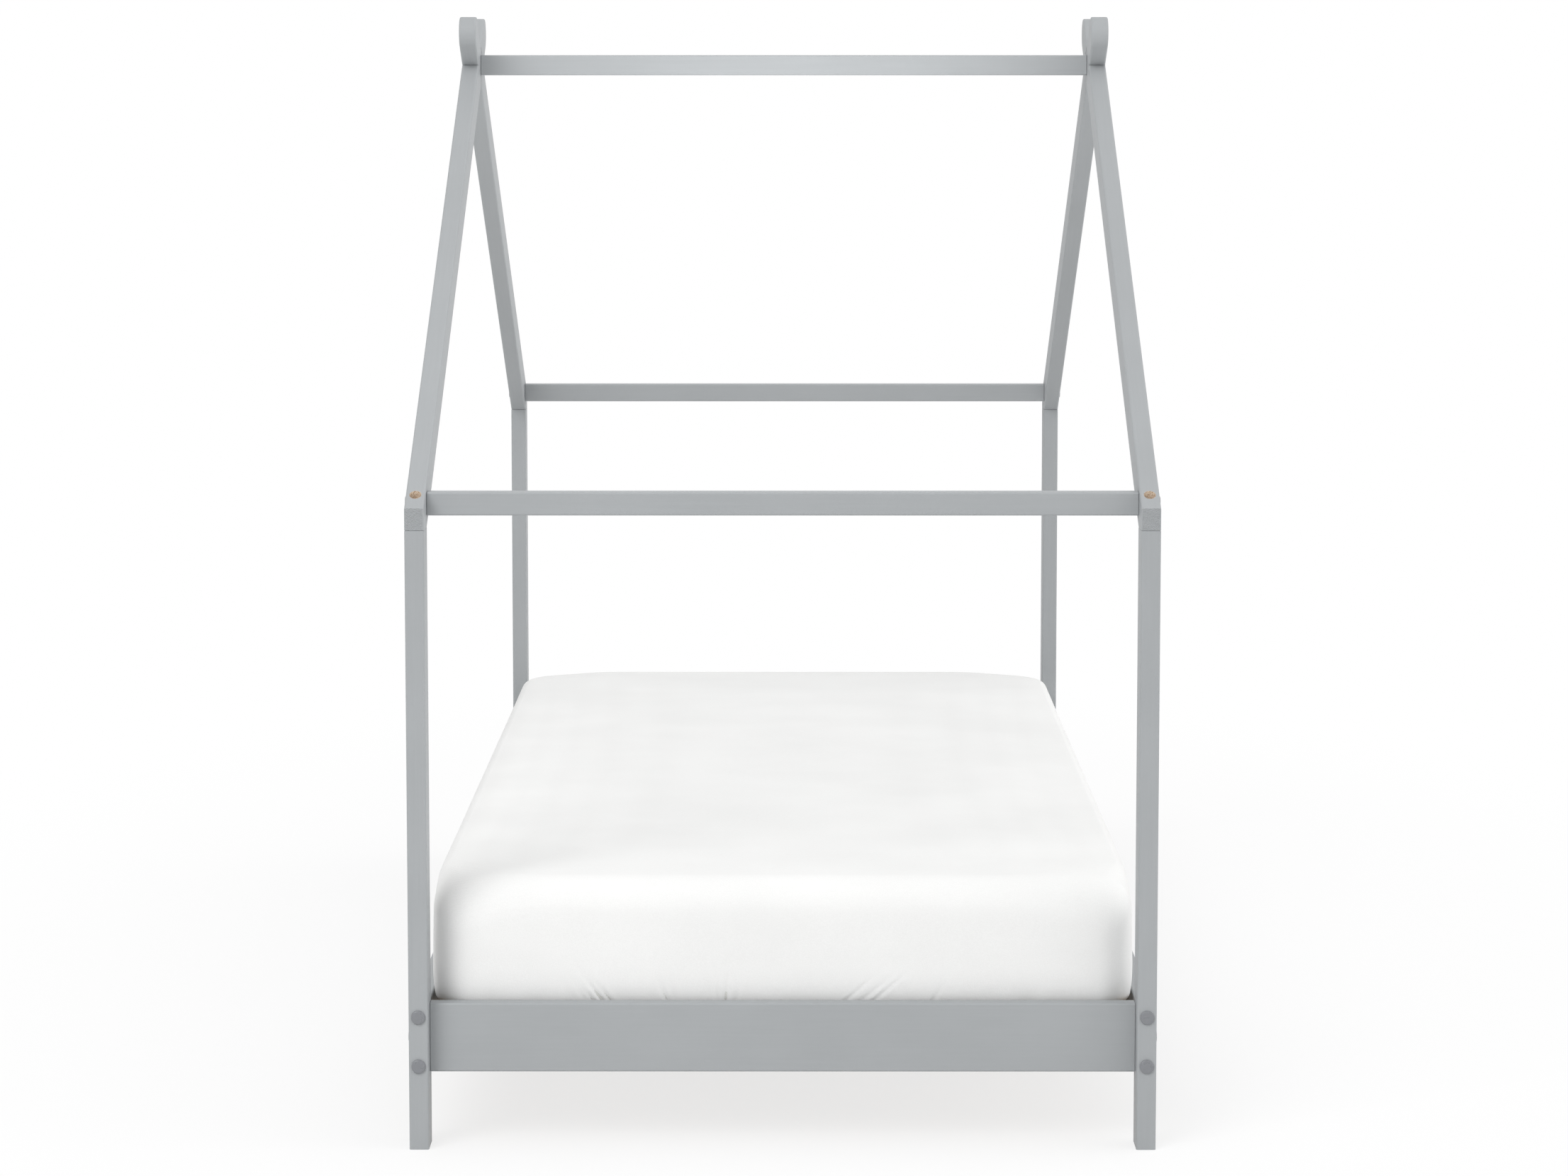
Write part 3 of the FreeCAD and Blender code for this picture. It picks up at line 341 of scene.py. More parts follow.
def side_rail_bores():
    """The bores of the side rails' barrel nuts, open on the inner faces."""
    low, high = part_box("side_rail_barrel_nuts")
    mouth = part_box("side_rail_right")[0].x
    return [bore("X", (0.0, y, z), mouth, high.x, BARREL_RADIUS)
            for y in (low.y + BARREL_RADIUS, high.y - BARREL_RADIUS)
            for z in (low.z + BARREL_RADIUS, high.z - BARREL_RADIUS)]


def foot_bores():
    """The counterbores in the rafters' feet, from above their rim down to the bolt's seat."""
    low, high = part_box("post_top_bolts")
    seat = high.z - BOLT_HEAD_HEIGHT
    x = high.x - BOLT_HEAD_RADIUS
    return [bore("Z", (x, y, 0.0), seat + FOOT_BORE_REACH, seat, FOOT_BORE_RADIUS)
            for y in (low.y + BOLT_HEAD_RADIUS, high.y - BOLT_HEAD_RADIUS)]


def sawn_rings(tree, place, folded_place, spacing):
    """Growth rings, and where they show: on the upright foot of a rafter."""
    offset = vector_maths(tree, "SUBTRACT", folded_place, PITH)
    waver = times(tree, noise(tree, place, 160.0, 3.0), RING_WAVER)
    distance = plus(tree, length_of(tree, offset, (1.0, 0.0, 1.0)), waver)
    rings = maths(tree, "SINE", times(tree, distance, 2 * math.pi / spacing))
    parts = parts_of(tree, place)
    on_face = maths(tree, "GREATER_THAN", maths(tree, "ABSOLUTE", parts["Y"]), POST_HIGH.y - END_FACE)
    above = maths(tree, "GREATER_THAN", parts["Z"], POST_HIGH.z)
    return step_up(tree, rings, -0.9, 0.6), times(tree, on_face, above)


def folded(tree, place):
    """Coordinates with the left half of the bed laid on the right half."""
    parts = parts_of(tree, place)
    return joined(tree, maths(tree, "ABSOLUTE", parts["X"]), parts["Y"], parts["Z"])


def painted_wood(name, turn, bores, sawn_foot):
    """Satin grey paint on wood whose grain runs along X after a turn. Its bores stay bare."""
    settings = bpy.context.scene.bed_paint
    material, tree, place = new_finish(name)
    right_half = folded(tree, place)
    fibres = noise(tree, stretched(tree, place, turn, FIBRE_SCALE), 1.0, 4.0, 0.6)
    pores = noise(tree, stretched(tree, place, turn, PORE_SCALE), 1.0)
    peel = noise(tree, place, PEEL_SCALE)
    coat = mixture(tree, (noise(tree, place, CLOUD_SCALE, 3.0), 0.6), (fibres, 0.4))
    paint = blended(tree, step_up(tree, coat, 0.3, 0.7), settings.deep_paint_and_ring_shade, settings.paint)
    height = mixture(tree, (fibres, 0.6), (peel, 0.2), (pores, 0.15))
    if sawn_foot:
        rings, on_foot = sawn_rings(tree, place, right_half, settings.ring_spacing)
        ridge = times(tree, rings, RING_DEPTH / settings.grain_depth)
        height = plus(tree, height, times(tree, ridge, on_foot))
        # painted shade: the paint darkens towards the deep colour in the grooves between the rings, where
        # shade falls
        painted_ring_shade = times(tree, maths(tree, "SUBTRACT", 1.0, rings), on_foot)
        paint = blended(tree, times(tree, painted_ring_shade, GROOVE_SHADE), paint, settings.deep_paint_and_ring_shade)
    bare = 0.0
    for one in bores:
        bare = maths(tree, "MAXIMUM", bare, in_bore(tree, right_half, one))
    streaks = noise(tree, stretched(tree, place, turn, STREAK_SCALE), 1.0, 3.0)
    wood = blended(tree, step_up(tree, streaks, 0.45, 0.62), settings.raw_wood, settings.raw_grain)
    roughness = between(tree, peel, settings.roughness - 0.05, settings.roughness + 0.05)
    return finished(material, height, settings.grain_depth, {
        "Base Color": blended(tree, bare, paint, wood), "Specular IOR Level": settings.gloss,
        "Roughness": plus(tree, roughness, times(tree, bare, BARE_ROUGHNESS))})


def finish_nodes(names, material):
    """Give CAD nodes a material in their own slots."""
    for name in names:
        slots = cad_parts[name].material_slots
        if not slots:
            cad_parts[name].data.materials.append(material)
        for slot in slots:
            slot.material = material


class BED_OT_paint_frame(bpy.types.Operator):
    """Paint the posts, rafters, beams and rails, and leave their bores bare"""
    bl_idname = "bed.paint_frame"
    bl_label = "Painted Frame"

    def execute(self, context):
        quarter = math.pi / 2
        posts = [nut_bore("post_top_barrel_nuts", f"post_{end}_right", 1) for end in ENDS]
        beams = [nut_bore("eave_beam_barrel_nuts", f"eave_beam_{end}", 1) for end in ENDS]
        beams.append(nut_bore("ridge_beam_barrel_nuts", "ridge_beam", 1))
        rails = [nut_bore("end_rail_barrel_nuts", "end_rail_front", 1),
                 nut_bore("end_rail_barrel_nuts", "end_rail_rear", -1)]
        for names, label, turn, bores in (
                (POSTS, "posts", (0, quarter, 0), posts),
                (FRONT_RAFTERS, "front_rafters", (-ROOF_PITCH, 0, -quarter), foot_bores()),
                (REAR_RAFTERS, "rear_rafters", (ROOF_PITCH, 0, -quarter), foot_bores()),
                (BEAMS, "beams", (0, 0, 0), beams),
                (END_RAILS, "end_rails", (0, 0, 0), rails),
                (SIDE_RAILS, "side_rails", (0, 0, -quarter), side_rail_bores())):
            finish_nodes(names, painted_wood(f"grey_paint_{label}", turn, bores, "rafters" in label))
        return {"FINISHED"}


# ---- Bare wood, steel and dowels ----
BAND_SCALE = (1.4, 34.0, 34.0)
BANDS = 42.0                        # how many bands of late wood the noise is cut into
PINE_FIBRE_SCALE = (12.0, 700.0, 700.0)


def bare_pine(name, turn):
    """Planed pine: bands of late wood along the piece, fine fibres and a few darker flecks."""
    settings = bpy.context.scene.bed_wood
    material, tree, place = new_finish(name)
    bands = noise(tree, stretched(tree, place, turn, BAND_SCALE), 1.0, 3.0, 0.55)
    rings = maths(tree, "SINE", times(tree, bands, BANDS))
    fibres = noise(tree, stretched(tree, place, turn, PINE_FIBRE_SCALE), 1.0, 3.0)
    late = times(tree, step_up(tree, rings, -0.2, 1.0), 0.75)
    wood = blended(tree, late, settings.light, settings.dark)
    flecks = times(tree, step_up(tree, fibres, 0.6, 0.8), 0.5)
    return finished(material, plus(tree, fibres, times(tree, late, 0.5)), 0.00015, {
        "Base Color": blended(tree, flecks, wood, darker(settings.dark, 0.55)),
        "Roughness": between(tree, fibres, 0.55, 0.75)})


def zinc():
    """Bright zinc with the faint mottling of its plating."""
    settings = bpy.context.scene.bed_wood
    material, tree, place = new_finish("zinc_plate")
    mottle = noise(tree, place, 420.0, 3.0)
    shade = blended(tree, mottle, darker(settings.steel, 0.8), settings.steel)
    return finished(material, noise(tree, place, 2500.0), 0.00002, {
        "Base Color": shade, "Roughness": between(tree, mottle, 0.25, 0.45), "Metallic": 1.0})


def beech():
    """Fluted beech of the dowels, grain along X."""
    settings = bpy.context.scene.bed_wood
    material, tree, place = new_finish("beech_dowels")
    flecks = noise(tree, stretched(tree, place, (0, 0, 0), PORE_SCALE), 1.0)
    shade = blended(tree, step_up(tree, flecks, 0.4, 0.75), settings.dowel, darker(settings.dowel, 0.7))
    return finished(material, flecks, 0.0001, {"Base Color": shade, "Roughness": 0.6})


class BED_OT_slats(bpy.types.Operator):
    """Give the slats and their ledgers bare pine"""
    bl_idname = "bed.slats"
    bl_label = "Slats and Ledgers"

    def execute(self, context):
        finish_nodes(SLATS, bare_pine("bare_pine_slats", (0, 0, 0)))
        finish_nodes(LEDGERS, bare_pine("bare_pine_ledgers", (0, 0, -math.pi / 2)))
        return {"FINISHED"}


class BED_OT_hardware(bpy.types.Operator):
    """Give the bolts, barrel nuts and screws zinc, and the dowels beech"""
    bl_idname = "bed.hardware"
    bl_label = "Bolts, Nuts, Screws and Dowels"

    def execute(self, context):
        finish_nodes(STEEL, zinc())
        finish_nodes(DOWELS, beech())
        return {"FINISHED"}


# ---- Mesh helpers ----
def added(name, data):
    """A new object in the scene."""
    made = bpy.data.objects.new(name, data)
    bpy.context.scene.collection.objects.link(made)
    return made


def new_object(name, points, faces):
    mesh = bpy.data.meshes.new(name)
    mesh.from_pydata([tuple(point) for point in points], [], faces)
    return added(name, mesh)


def points_of(thing):
    """An object's vertices as an array."""
    flat = np.empty(len(thing.data.vertices) * 3)
    thing.data.vertices.foreach_get("co", flat)
    return flat.reshape(-1, 3)


def move_points(thing, points):
    thing.data.vertices.foreach_set("co", np.asarray(points, float).ravel())
    thing.data.update()


def baked(thing, name):
    """A plain mesh object from an object and its modifiers. The first object is removed."""
    graph = bpy.context.evaluated_depsgraph_get()
    mesh = bpy.data.meshes.new_from_object(thing.evaluated_get(graph))
    mesh.name = name
    bpy.data.objects.remove(thing)
    return added(name, mesh)


def face_outwards(thing, merge=1e-6):
    """Merge doubled points and point every face outwards."""
    work = bmesh.new()
    work.from_mesh(thing.data)
    bmesh.ops.remove_doubles(work, verts=work.verts, dist=merge)
    bmesh.ops.recalc_face_normals(work, faces=work.faces)
    work.to_mesh(thing.data)
    work.free()


def smooth(thing, sharp_angle=180.0):
    """Shade smooth, with creases above an angle in degrees."""
    thing.data.shade_smooth()
    thing.data.set_sharp_from_angle(angle=math.radians(sharp_angle))


# ---- Bolt caps ----
OUTLINE_POINTS = 19   # along a cap's outline, over its rim
CAP_MERGE = 1e-5      # points nearer than this are made one
CAP_SHARP = 60.0      # degrees above which an edge of a cap stays sharp


def run_tree(thing, tree, values, name):
    """Run a tree on an object and return the plain mesh that it makes."""
    modifier = thing.modifiers.new(tree.name, "NODES")
    modifier.node_group = tree
    for item in tree.interface.items_tree:
        if item.in_out == "INPUT" and item.name in values:
            modifier[item.identifier] = values[item.name]
    return baked(thing, name)


def cap_tree():
    """One cap on each point, turned to face along the point's own direction.

    The cap is a sheet of points rolled round its axis: its outline is a squared half ellipse that
    starts at the middle of the face, goes over the rim and comes back to the middle underneath.
    """
    tree = bpy.data.node_groups.new("Bolt caps", "GeometryNodeTree")
    for name, way, kind in (
            ("Geometry", "INPUT", "Geometry"), ("Radius", "INPUT", "Float"),
            ("Height", "INPUT", "Float"), ("Squareness", "INPUT", "Float"),
            ("Segments", "INPUT", "Int"), ("Plastic", "INPUT", "Material"),
            ("Geometry", "OUTPUT", "Geometry")):
        tree.interface.new_socket(name=name, in_out=way, socket_type="NodeSocket" + kind)
    given = add_node(tree, "NodeGroupInput")
    grid = add_node(tree, "GeometryNodeMeshGrid", {
        "Size X": 1.0, "Size Y": 1.0, "Vertices Y": OUTLINE_POINTS,
        "Vertices X": plus(tree, given.outputs["Segments"], 1.0)})
    spot = parts_of(tree, add_node(tree, "GeometryNodeInputPosition").outputs[0])
    round_axis = times(tree, spot["X"], 2 * math.pi)
    outline = times(tree, plus(tree, spot["Y"], 0.5), math.pi)
    wide, high = (
        maths(tree, "POWER", maths(tree, "MAXIMUM", maths(tree, wave, outline), 0.0),
              given.outputs["Squareness"]) for wave in ("SINE", "COSINE"))
    radius = times(tree, wide, given.outputs["Radius"])
    across, along = (times(tree, radius, maths(tree, wave, round_axis)) for wave in ("COSINE", "SINE"))
    rolled = joined(tree, across, along, times(tree, high, given.outputs["Height"]))
    cap = add_node(tree, "GeometryNodeSetPosition",
                   {"Geometry": grid.outputs["Mesh"], "Position": rolled})
    closed = add_node(tree, "GeometryNodeMergeByDistance",
                      {"Geometry": cap.outputs["Geometry"], "Distance": CAP_MERGE})
    facing = add_node(tree, "GeometryNodeInputNamedAttribute", {"Name": "facing"},
                      data_type="FLOAT_VECTOR")
    turn = add_node(tree, "FunctionNodeAlignRotationToVector", {"Vector": facing.outputs["Attribute"]},
                    axis="Z")
    placed = add_node(tree, "GeometryNodeInstanceOnPoints", {
        "Points": given.outputs["Geometry"], "Instance": closed.outputs["Geometry"],
        "Rotation": turn.outputs["Rotation"]})
    real = add_node(tree, "GeometryNodeRealizeInstances", {"Geometry": placed.outputs["Instances"]})
    dressed = add_node(tree, "GeometryNodeSetMaterial", {
        "Geometry": real.outputs["Geometry"], "Material": given.outputs["Plastic"]})
    add_node(tree, "NodeGroupOutput", {"Geometry": dressed.outputs["Geometry"]})
    return tree


def cap_places():
    """(point on the wood, direction) of every cap, from the boxes of the CAD caps."""
    height = bpy.context.scene.bed_caps.height
    middle = CAP_RADIUS
    places = []
    low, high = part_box("side_rail_bolt_caps")
    for x in (low.x + middle, high.x - middle):
        for z in (low.z + middle, high.z - middle):
            places.append(((x, low.y + height, z), (0, -1, 0)))
            places.append(((x, high.y - height, z), (0, 1, 0)))
    for node, count in (("end_rail_bolt_caps", 2), ("eave_beam_bolt_caps", 2),
                        ("ridge_beam_bolt_caps", 1)):
        low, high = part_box(node)
        for y in (low.y + middle, high.y - middle)[:count]:
            places.append(((low.x + height, y, low.z + middle), (-1, 0, 0)))
            places.append(((high.x - height, y, low.z + middle), (1, 0, 0)))
    return places


def cap_plastic():
    """Moulded plastic: a fine spark texture and slight clouds in its colour."""
    settings = bpy.context.scene.bed_caps
    material, tree, place = new_finish("grey_cap_plastic")
    clouds = noise(tree, place, 90.0)
    shade = blended(tree, clouds, darker(settings.plastic, 0.9), settings.plastic)
    return finished(material, noise(tree, place, 3200.0, 1.0), 0.00003, {
        "Base Color": shade, "Roughness": between(tree, clouds, 0.24, 0.32)})


class BED_OT_bolt_caps(bpy.types.Operator):
    """Press a plastic cap into every counterbore"""
    bl_idname = "bed.bolt_caps"
    bl_label = "Bolt Caps"

    def execute(self, context):
        settings = context.scene.bed_caps
        places = cap_places()
        points = new_object("cap_points", [place for place, _ in places], [])
        facing = points.data.attributes.new("facing", "FLOAT_VECTOR", "POINT")
        facing.data.foreach_set("vector", np.array([way for _, way in places], float).ravel())
        caps = run_tree(points, cap_tree(), {
            "Radius": settings.radius, "Height": settings.height, "Squareness": settings.squareness,
            "Segments": settings.segments, "Plastic": cap_plastic()}, "bolt_caps")
        face_outwards(caps, CAP_MERGE)
        smooth(caps, CAP_SHARP)
        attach(caps, "bed_frame")
        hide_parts(*CAPS)
        return {"FINISHED"}


# ---- Mattress and fitted sheet: the form they share ----
CORNER_POINTS = 26
EDGE_POINTS = (150, 70, 150, 330)   # along the right side, the head, the left side and the foot
CORNER_FADE = 0.13    # how far from a corner its softness is felt
SHARPENING = 0.25     # how fast a corner's plan radius shrinks with the inset
LEAST_CORNER = 0.01   # and where it stops
PULL_REACH = 0.07     # how far from a corner the elastic pulls it down
TUCK = 0.008          # what the bottom edge's radius gains at a corner
LOW_WALL = 0.05       # the part of a side that has close rings, for its creases
LOW_STEPS = 20
HIGH_STEPS = 6
HEM_STEPS = 5         # rings of the hem under the mattress
BOTTOM_STEPS = 7      # rings round the bottom edge
ROLL_STEPS = 9        # rings round the top edge
CROWN_STEPS = 12
CROWN_POWER = 2.2     # how flat the middle of the top is
INNERMOST = 0.42      # inset of the last ring, near the middle line of the bed


class Ring:
    """The plan of the mattress as a ring of points, counter-clockwise from the front right corner.

    Each point is known by its corner, its turn within it and its share of the way to the next corner,
    so a ring can be drawn at any inset, and at another inset for each of its points.
    """

    def __init__(self, half_width, half_length, corner):
        self.half = np.array([half_width, half_length])
        self.corner = corner
        spots = []
        for quarter in range(4):
            start = -math.pi / 2 + quarter * math.pi / 2
            for step in range(CORNER_POINTS + 1):
                spots.append((quarter, start + math.pi / 2 * step / CORNER_POINTS, 0.0))
            count = EDGE_POINTS[quarter]
            for step in range(1, count):
                spots.append((quarter, start + math.pi / 2, step / count))
        self.quarter = np.array([spot[0] for spot in spots])
        self.angle = np.array([spot[1] for spot in spots])
        self.share = np.array([spot[2] for spot in spots])
        self.normal = np.stack([np.cos(self.angle), np.sin(self.angle)], axis=1)
        self.count = len(spots)
        self.travel = self.arc_length()
        self.weight = self.corner_weight()

    def signs(self, quarter):
        """Which corner of the bed a quarter turn belongs to: signs of x and y."""
        across = np.where(np.isin(quarter % 4, (0, 1)), 1.0, -1.0)
        along = np.where(np.isin(quarter % 4, (1, 2)), 1.0, -1.0)
        return np.stack([across, along], axis=1)

    def plan(self, inset):
        """Points of the ring, each at its own inset from the widest outline."""
        inset = np.broadcast_to(inset, (self.count,))
        radius = np.maximum(self.corner - SHARPENING * inset, LEAST_CORNER)
        room = self.half[None, :] - inset[:, None] - radius[:, None]
        here = self.signs(self.quarter) * room + radius[:, None] * self.normal
        beyond = self.signs(self.quarter + 1) * room + radius[:, None] * self.normal
        share = self.share[:, None]
        return here * (1 - share) + beyond * share

    def arc_length(self):
        """Distance of each point along the widest outline from the first one."""
        points = self.plan(0.0)
        steps = np.linalg.norm(np.diff(points, axis=0), axis=1)
        return np.concatenate([[0.0], np.cumsum(steps)])

    def from_corner(self, plan):
        """Distance of each point of a plan from the outermost point of its corner."""
        corner = self.half - self.corner * (1 - math.sqrt(0.5))
        return np.linalg.norm(np.abs(plan) - corner, axis=1)

    def corner_weight(self):
        """1 in the middle of a corner, falling smoothly to 0 along the sides."""
        near = np.clip(1 - self.from_corner(self.plan(0.0)) / CORNER_FADE, 0, 1)
        return near * near * (3 - 2 * near)


def mattress_rings(ring, settings, grow, low, high, under=None):
    """Rings of the mattress grown by a distance, from the bottom to the middle of the top.

    With under, the rings start that far under the mattress, as the hem of the sheet does. The elastic
    pulls the top down, most of all at the corners.
    """
    bottom_roll = settings.bottom_roll + grow + TUCK * ring.weight ** 2
    across_end = ring.normal[:, 1] ** 2
    roll = settings.side_roll + (settings.end_roll - settings.side_roll) * across_end
    roll = roll + grow + settings.corner_roll * ring.weight
    top = high - settings.crown
    rings = []

    def keep(inset, z, pull=0.0):
        plan = ring.plan(inset)
        z = z - pull * settings.corner_drop * np.exp(-(ring.from_corner(plan) / PULL_REACH) ** 2)
        rings.append(np.column_stack([plan, np.broadcast_to(z, (ring.count,))]))

    if under:
        for share in np.linspace(0, 1, HEM_STEPS + 1)[:-1]:
            keep(under + (bottom_roll - under) * share, low)
    for angle in np.linspace(0, math.pi / 2, BOTTOM_STEPS + 1):
        keep(bottom_roll * (1 - math.sin(angle)), low + bottom_roll * (1 - math.cos(angle)))
    wall_low = low + bottom_roll
    wall_high = top - roll
    wall_middle = np.minimum(wall_low + LOW_WALL, (wall_low + wall_high) / 2)
    for share in np.linspace(0, 1, LOW_STEPS + 1)[1:]:
        keep(0.0, wall_low + (wall_middle - wall_low) * share)
    for share in np.linspace(0, 1, HIGH_STEPS + 1)[1:-1]:
        keep(0.0, wall_middle + (wall_high - wall_middle) * share, share * share)
    for angle in np.linspace(0, math.pi / 2, ROLL_STEPS + 1):
        keep(roll * (1 - math.cos(angle)), top - roll * (1 - math.sin(angle)), 1.0)
    for share in np.linspace(0, 1, CROWN_STEPS + 1)[1:]:
        rise = settings.crown * (1 - (1 - share) ** CROWN_POWER)
        keep(roll + (INNERMOST - roll) * share, top + rise, 1.0)
    return rings


def lofted(name, rings, close_bottom):
    """A mesh through rings of equal count, closed at the top, and at the bottom if asked."""
    count = len(rings[0])
    points = np.concatenate(rings)
    faces = []
    for level in range(len(rings) - 1):
        base = level * count
        for step in range(count):
            after = (step + 1) % count
            faces.append((base + step, base + after, base + count + after, base + count + step))
    last = (len(rings) - 1) * count
    faces.append(tuple(range(last, last + count)))
    if close_bottom:
        faces.append(tuple(reversed(range(count))))
    return new_object(name, points, faces)


# ---- Mattress ----
BULGE = (0.0068, 0.0042)  # how far the sides and ends press out past the plain form, towards the frame
VOXEL = 0.016
CLOTH_QUALITY = 4
CLOTH_MASS = 0.4
SWELL_FRAMES = 20
SWELL_START = 0.003   # the mattress starts smaller by this much, then the pressure fills it
SWELL_CAP = 0.004     # furthest that a point may move while it swells
COVER_CLEAR = 0.0002  # room between the cover and the CAD box of the mattress


def remesh(thing):
    modifier = thing.modifiers.new("Even mesh", "REMESH")
    modifier.mode = "VOXEL"
    modifier.voxel_size = VOXEL
    return baked(thing, thing.name + "_even")


def swell(thing, pressure):
    """Fill a closed form with pressure as cloth, and keep every point within the cap."""
    before = points_of(thing)
    modifier = thing.modifiers.new("Cloth", "CLOTH")
    cloth = modifier.settings
    cloth.quality = CLOTH_QUALITY
    cloth.mass = CLOTH_MASS
    cloth.use_pressure = True
    cloth.uniform_pressure_force = pressure
    cloth.effector_weights.gravity = 0.0
    modifier.point_cache.frame_start = 1
    modifier.point_cache.frame_end = SWELL_FRAMES
    for number in range(1, SWELL_FRAMES + 1):
        bpy.context.scene.frame_set(number)
    step = points_of(thing.evaluated_get(bpy.context.evaluated_depsgraph_get())) - before
    thing.modifiers.remove(modifier)
    bpy.context.scene.frame_set(1)
    far = np.linalg.norm(step, axis=1, keepdims=True)
    move_points(thing, before + step * np.minimum(1.0, SWELL_CAP / np.maximum(far, 1e-9)))


def fill_box(points, low, high):
    """Points stretched so that they just reach the walls of a box."""
    low, high = np.array(low), np.array(high)
    from_low, from_high = points.min(axis=0), points.max(axis=0)
    return low + (points - from_low) * (high - low) / (from_high - from_low)


def mattress_form(settings):
    """The swollen body of the mattress, before its seams."""
    grow = -SWELL_START
    ring = Ring(MATTRESS_HIGH.x + BULGE[0] + grow, MATTRESS_HIGH.y + BULGE[1] + grow, settings.corner)
    rings = mattress_rings(ring, settings, grow, MATTRESS_LOW.z - grow, MATTRESS_HIGH.z + grow)
    form = remesh(lofted("mattress_form", rings, True))
    swell(form, settings.pressure)
    finer = form.modifiers.new("Finer", "SUBSURF")
    finer.levels = finer.render_levels = 1
    form = baked(form, "mattress_body")
    past = Vector((*BULGE, -COVER_CLEAR))
    move_points(form, fill_box(points_of(form), MATTRESS_LOW - past, MATTRESS_HIGH + past))
    face_outwards(form)
    return form


def ticking():
    """Knitted mattress cover with a fine rib."""
    settings = bpy.context.scene.bed_bedding
    material, tree, place = new_finish("knitted_ticking")
    ribs = waves(tree, place, "DIAGONAL", 210.0, 0.6)
    knit = mixture(tree, (ribs, 0.6), (noise(tree, place, 900.0), 0.4))
    shade = blended(tree, knit, darker(settings.ticking, 0.86), settings.ticking)
    return finished(material, knit, 0.0004, {
        "Base Color": shade, "Roughness": 0.85, "Sheen Weight": 0.1})


QUILT_STEP = 0.12
QUILT_DEPTH = 0.0011
QUILT_WIDTH = 0.011
QUILT_REACH = 0.004   # height above the underside at which the seams have faded


def quilt(form):
    """Sewn diamonds on the underside, pressed up into the cover."""
    points = points_of(form)
    under = np.clip((MATTRESS_LOW.z + QUILT_REACH - points[:, 2]) / QUILT_REACH, 0, 1)
    line = np.full(len(points), 1.0)
    for slant in (1.0, -1.0):
        travel = (points[:, 0] + slant * points[:, 1]) / QUILT_STEP
        away = np.abs(travel - np.round(travel)) * QUILT_STEP / math.sqrt(2)
        line = np.minimum(line, away)
    points[:, 2] += under * QUILT_DEPTH * np.exp(-(line / QUILT_WIDTH) ** 2)
    move_points(form, points)


class BED_OT_mattress(bpy.types.Operator):
    """Make the foam mattress in its knitted cover"""
    bl_idname = "bed.mattress"
    bl_label = "Mattress"

    def execute(self, context):
        body = mattress_form(context.scene.bed_bedding)
        quilt(body)
        body.data.materials.clear()
        body.data.materials.append(ticking())
        smooth(body)
        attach(body, "mattress")
        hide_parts("mattress")
        return {"FINISHED"}


# ---- Fitted sheet ----
SHEET_CLEAR = 0.0011   # the cloth's middle from the cover
SLAT_CLEAR = 0.0006    # the cloth's underside from the slats
SETTLE_PASSES = 60
GATHER_SEED = 11
GATHERS_AT_A_CORNER = 7
GATHER_SPREAD = 0.13   # how far from a corner's middle its last gather starts
GATHER_FAN = 0.9       # how much the gathers lean away from each other
GATHER_STRAY = (-0.35, 0.35)
GATHER_LEAN = (-0.25, 0.25)
GATHER_DEPTH = (0.0006, 0.0015)
GATHER_REACH = (0.02, 0.05)
GATHER_WIDTH = (0.011, 0.016)
WAVE_COUNTS = (9, 14, 23, 37)   # broad waves round the whole bed
WAVE_DEPTH = 0.0011
WAVE_REACH = 0.07      # height at which the waves have mostly faded
FOLD_RIDGE = 0.45      # height of a fold's ridges against the depth of its valley
FOLD_RIDGE_PLACE = 1.7    # and how many widths they lie from its middle
UPRIGHT = 1.4          # folds fade where the cloth turns from upright to flat
CLOTH_MERGE = 1e-7
CLOTH_SHARP = 75.0
# short creases above the foot rail: place across the bed, lean, length, depth
RAIL_CREASES = [
    (-0.256, -0.55, 0.020, 0.0010), (-0.247, -0.60, 0.024, 0.0014), (-0.235, -0.75, 0.032, 0.0020),
    (-0.225, -0.80, 0.028, 0.0013), (-0.150, -0.45, 0.018, 0.0012), (-0.140, -0.30, 0.016, 0.0009),
    (-0.083, -0.10, 0.018, 0.0009), (-0.074, 0.05, 0.024, 0.0015), (-0.060, 0.15, 0.015, 0.0008),
    (0.084, 1.10, 0.024, 0.0010), (0.104, 1.25, 0.027, 0.0008), (0.121, 1.10, 0.028, 0.0011),
    (0.196, 0.60, 0.018, 0.0007),
]
CREASE_WIDTH = 0.0036
FACE_DEPTH = 0.026     # the foot face: how far behind the sheet's foremost point creases begin
FACE_FADE = 0.02       # and how much nearer to it they have their full depth


def fold_section(distance, width):
    """Cross section of a small fold: a narrow valley with a soft ridge on each side."""
    share = distance / width
    return -np.exp(-share ** 2) + FOLD_RIDGE * np.exp(-(np.abs(share) - FOLD_RIDGE_PLACE) ** 2)


def corner_gathers(ring, travel, height):
    """Folds that fan out from the elastic at each corner and fade upwards."""
    draw = random.Random(GATHER_SEED)
    total = ring.travel[-1] + np.linalg.norm(ring.plan(0.0)[0] - ring.plan(0.0)[-1])
    middles = [ring.travel[np.flatnonzero((ring.quarter == q) & (ring.share == 0))[CORNER_POINTS // 2]]
               for q in range(4)]
    lift = np.zeros_like(travel)
    for middle in middles:
        for number in range(GATHERS_AT_A_CORNER):
            place = 2 * (number + draw.uniform(*GATHER_STRAY)) / (GATHERS_AT_A_CORNER - 1) - 1
            spot = GATHER_SPREAD * place
            lean = draw.uniform(*GATHER_LEAN) - GATHER_FAN * spot
            depth = draw.uniform(*GATHER_DEPTH)
            reach = draw.uniform(*GATHER_REACH)
            width = draw.uniform(*GATHER_WIDTH)
            away = travel - (middle + spot + lean * height)
            away -= total * np.round(away / total)
            lift += depth * np.exp(-height / reach) * fold_section(away, width * (1 + 6 * height))
    return lift


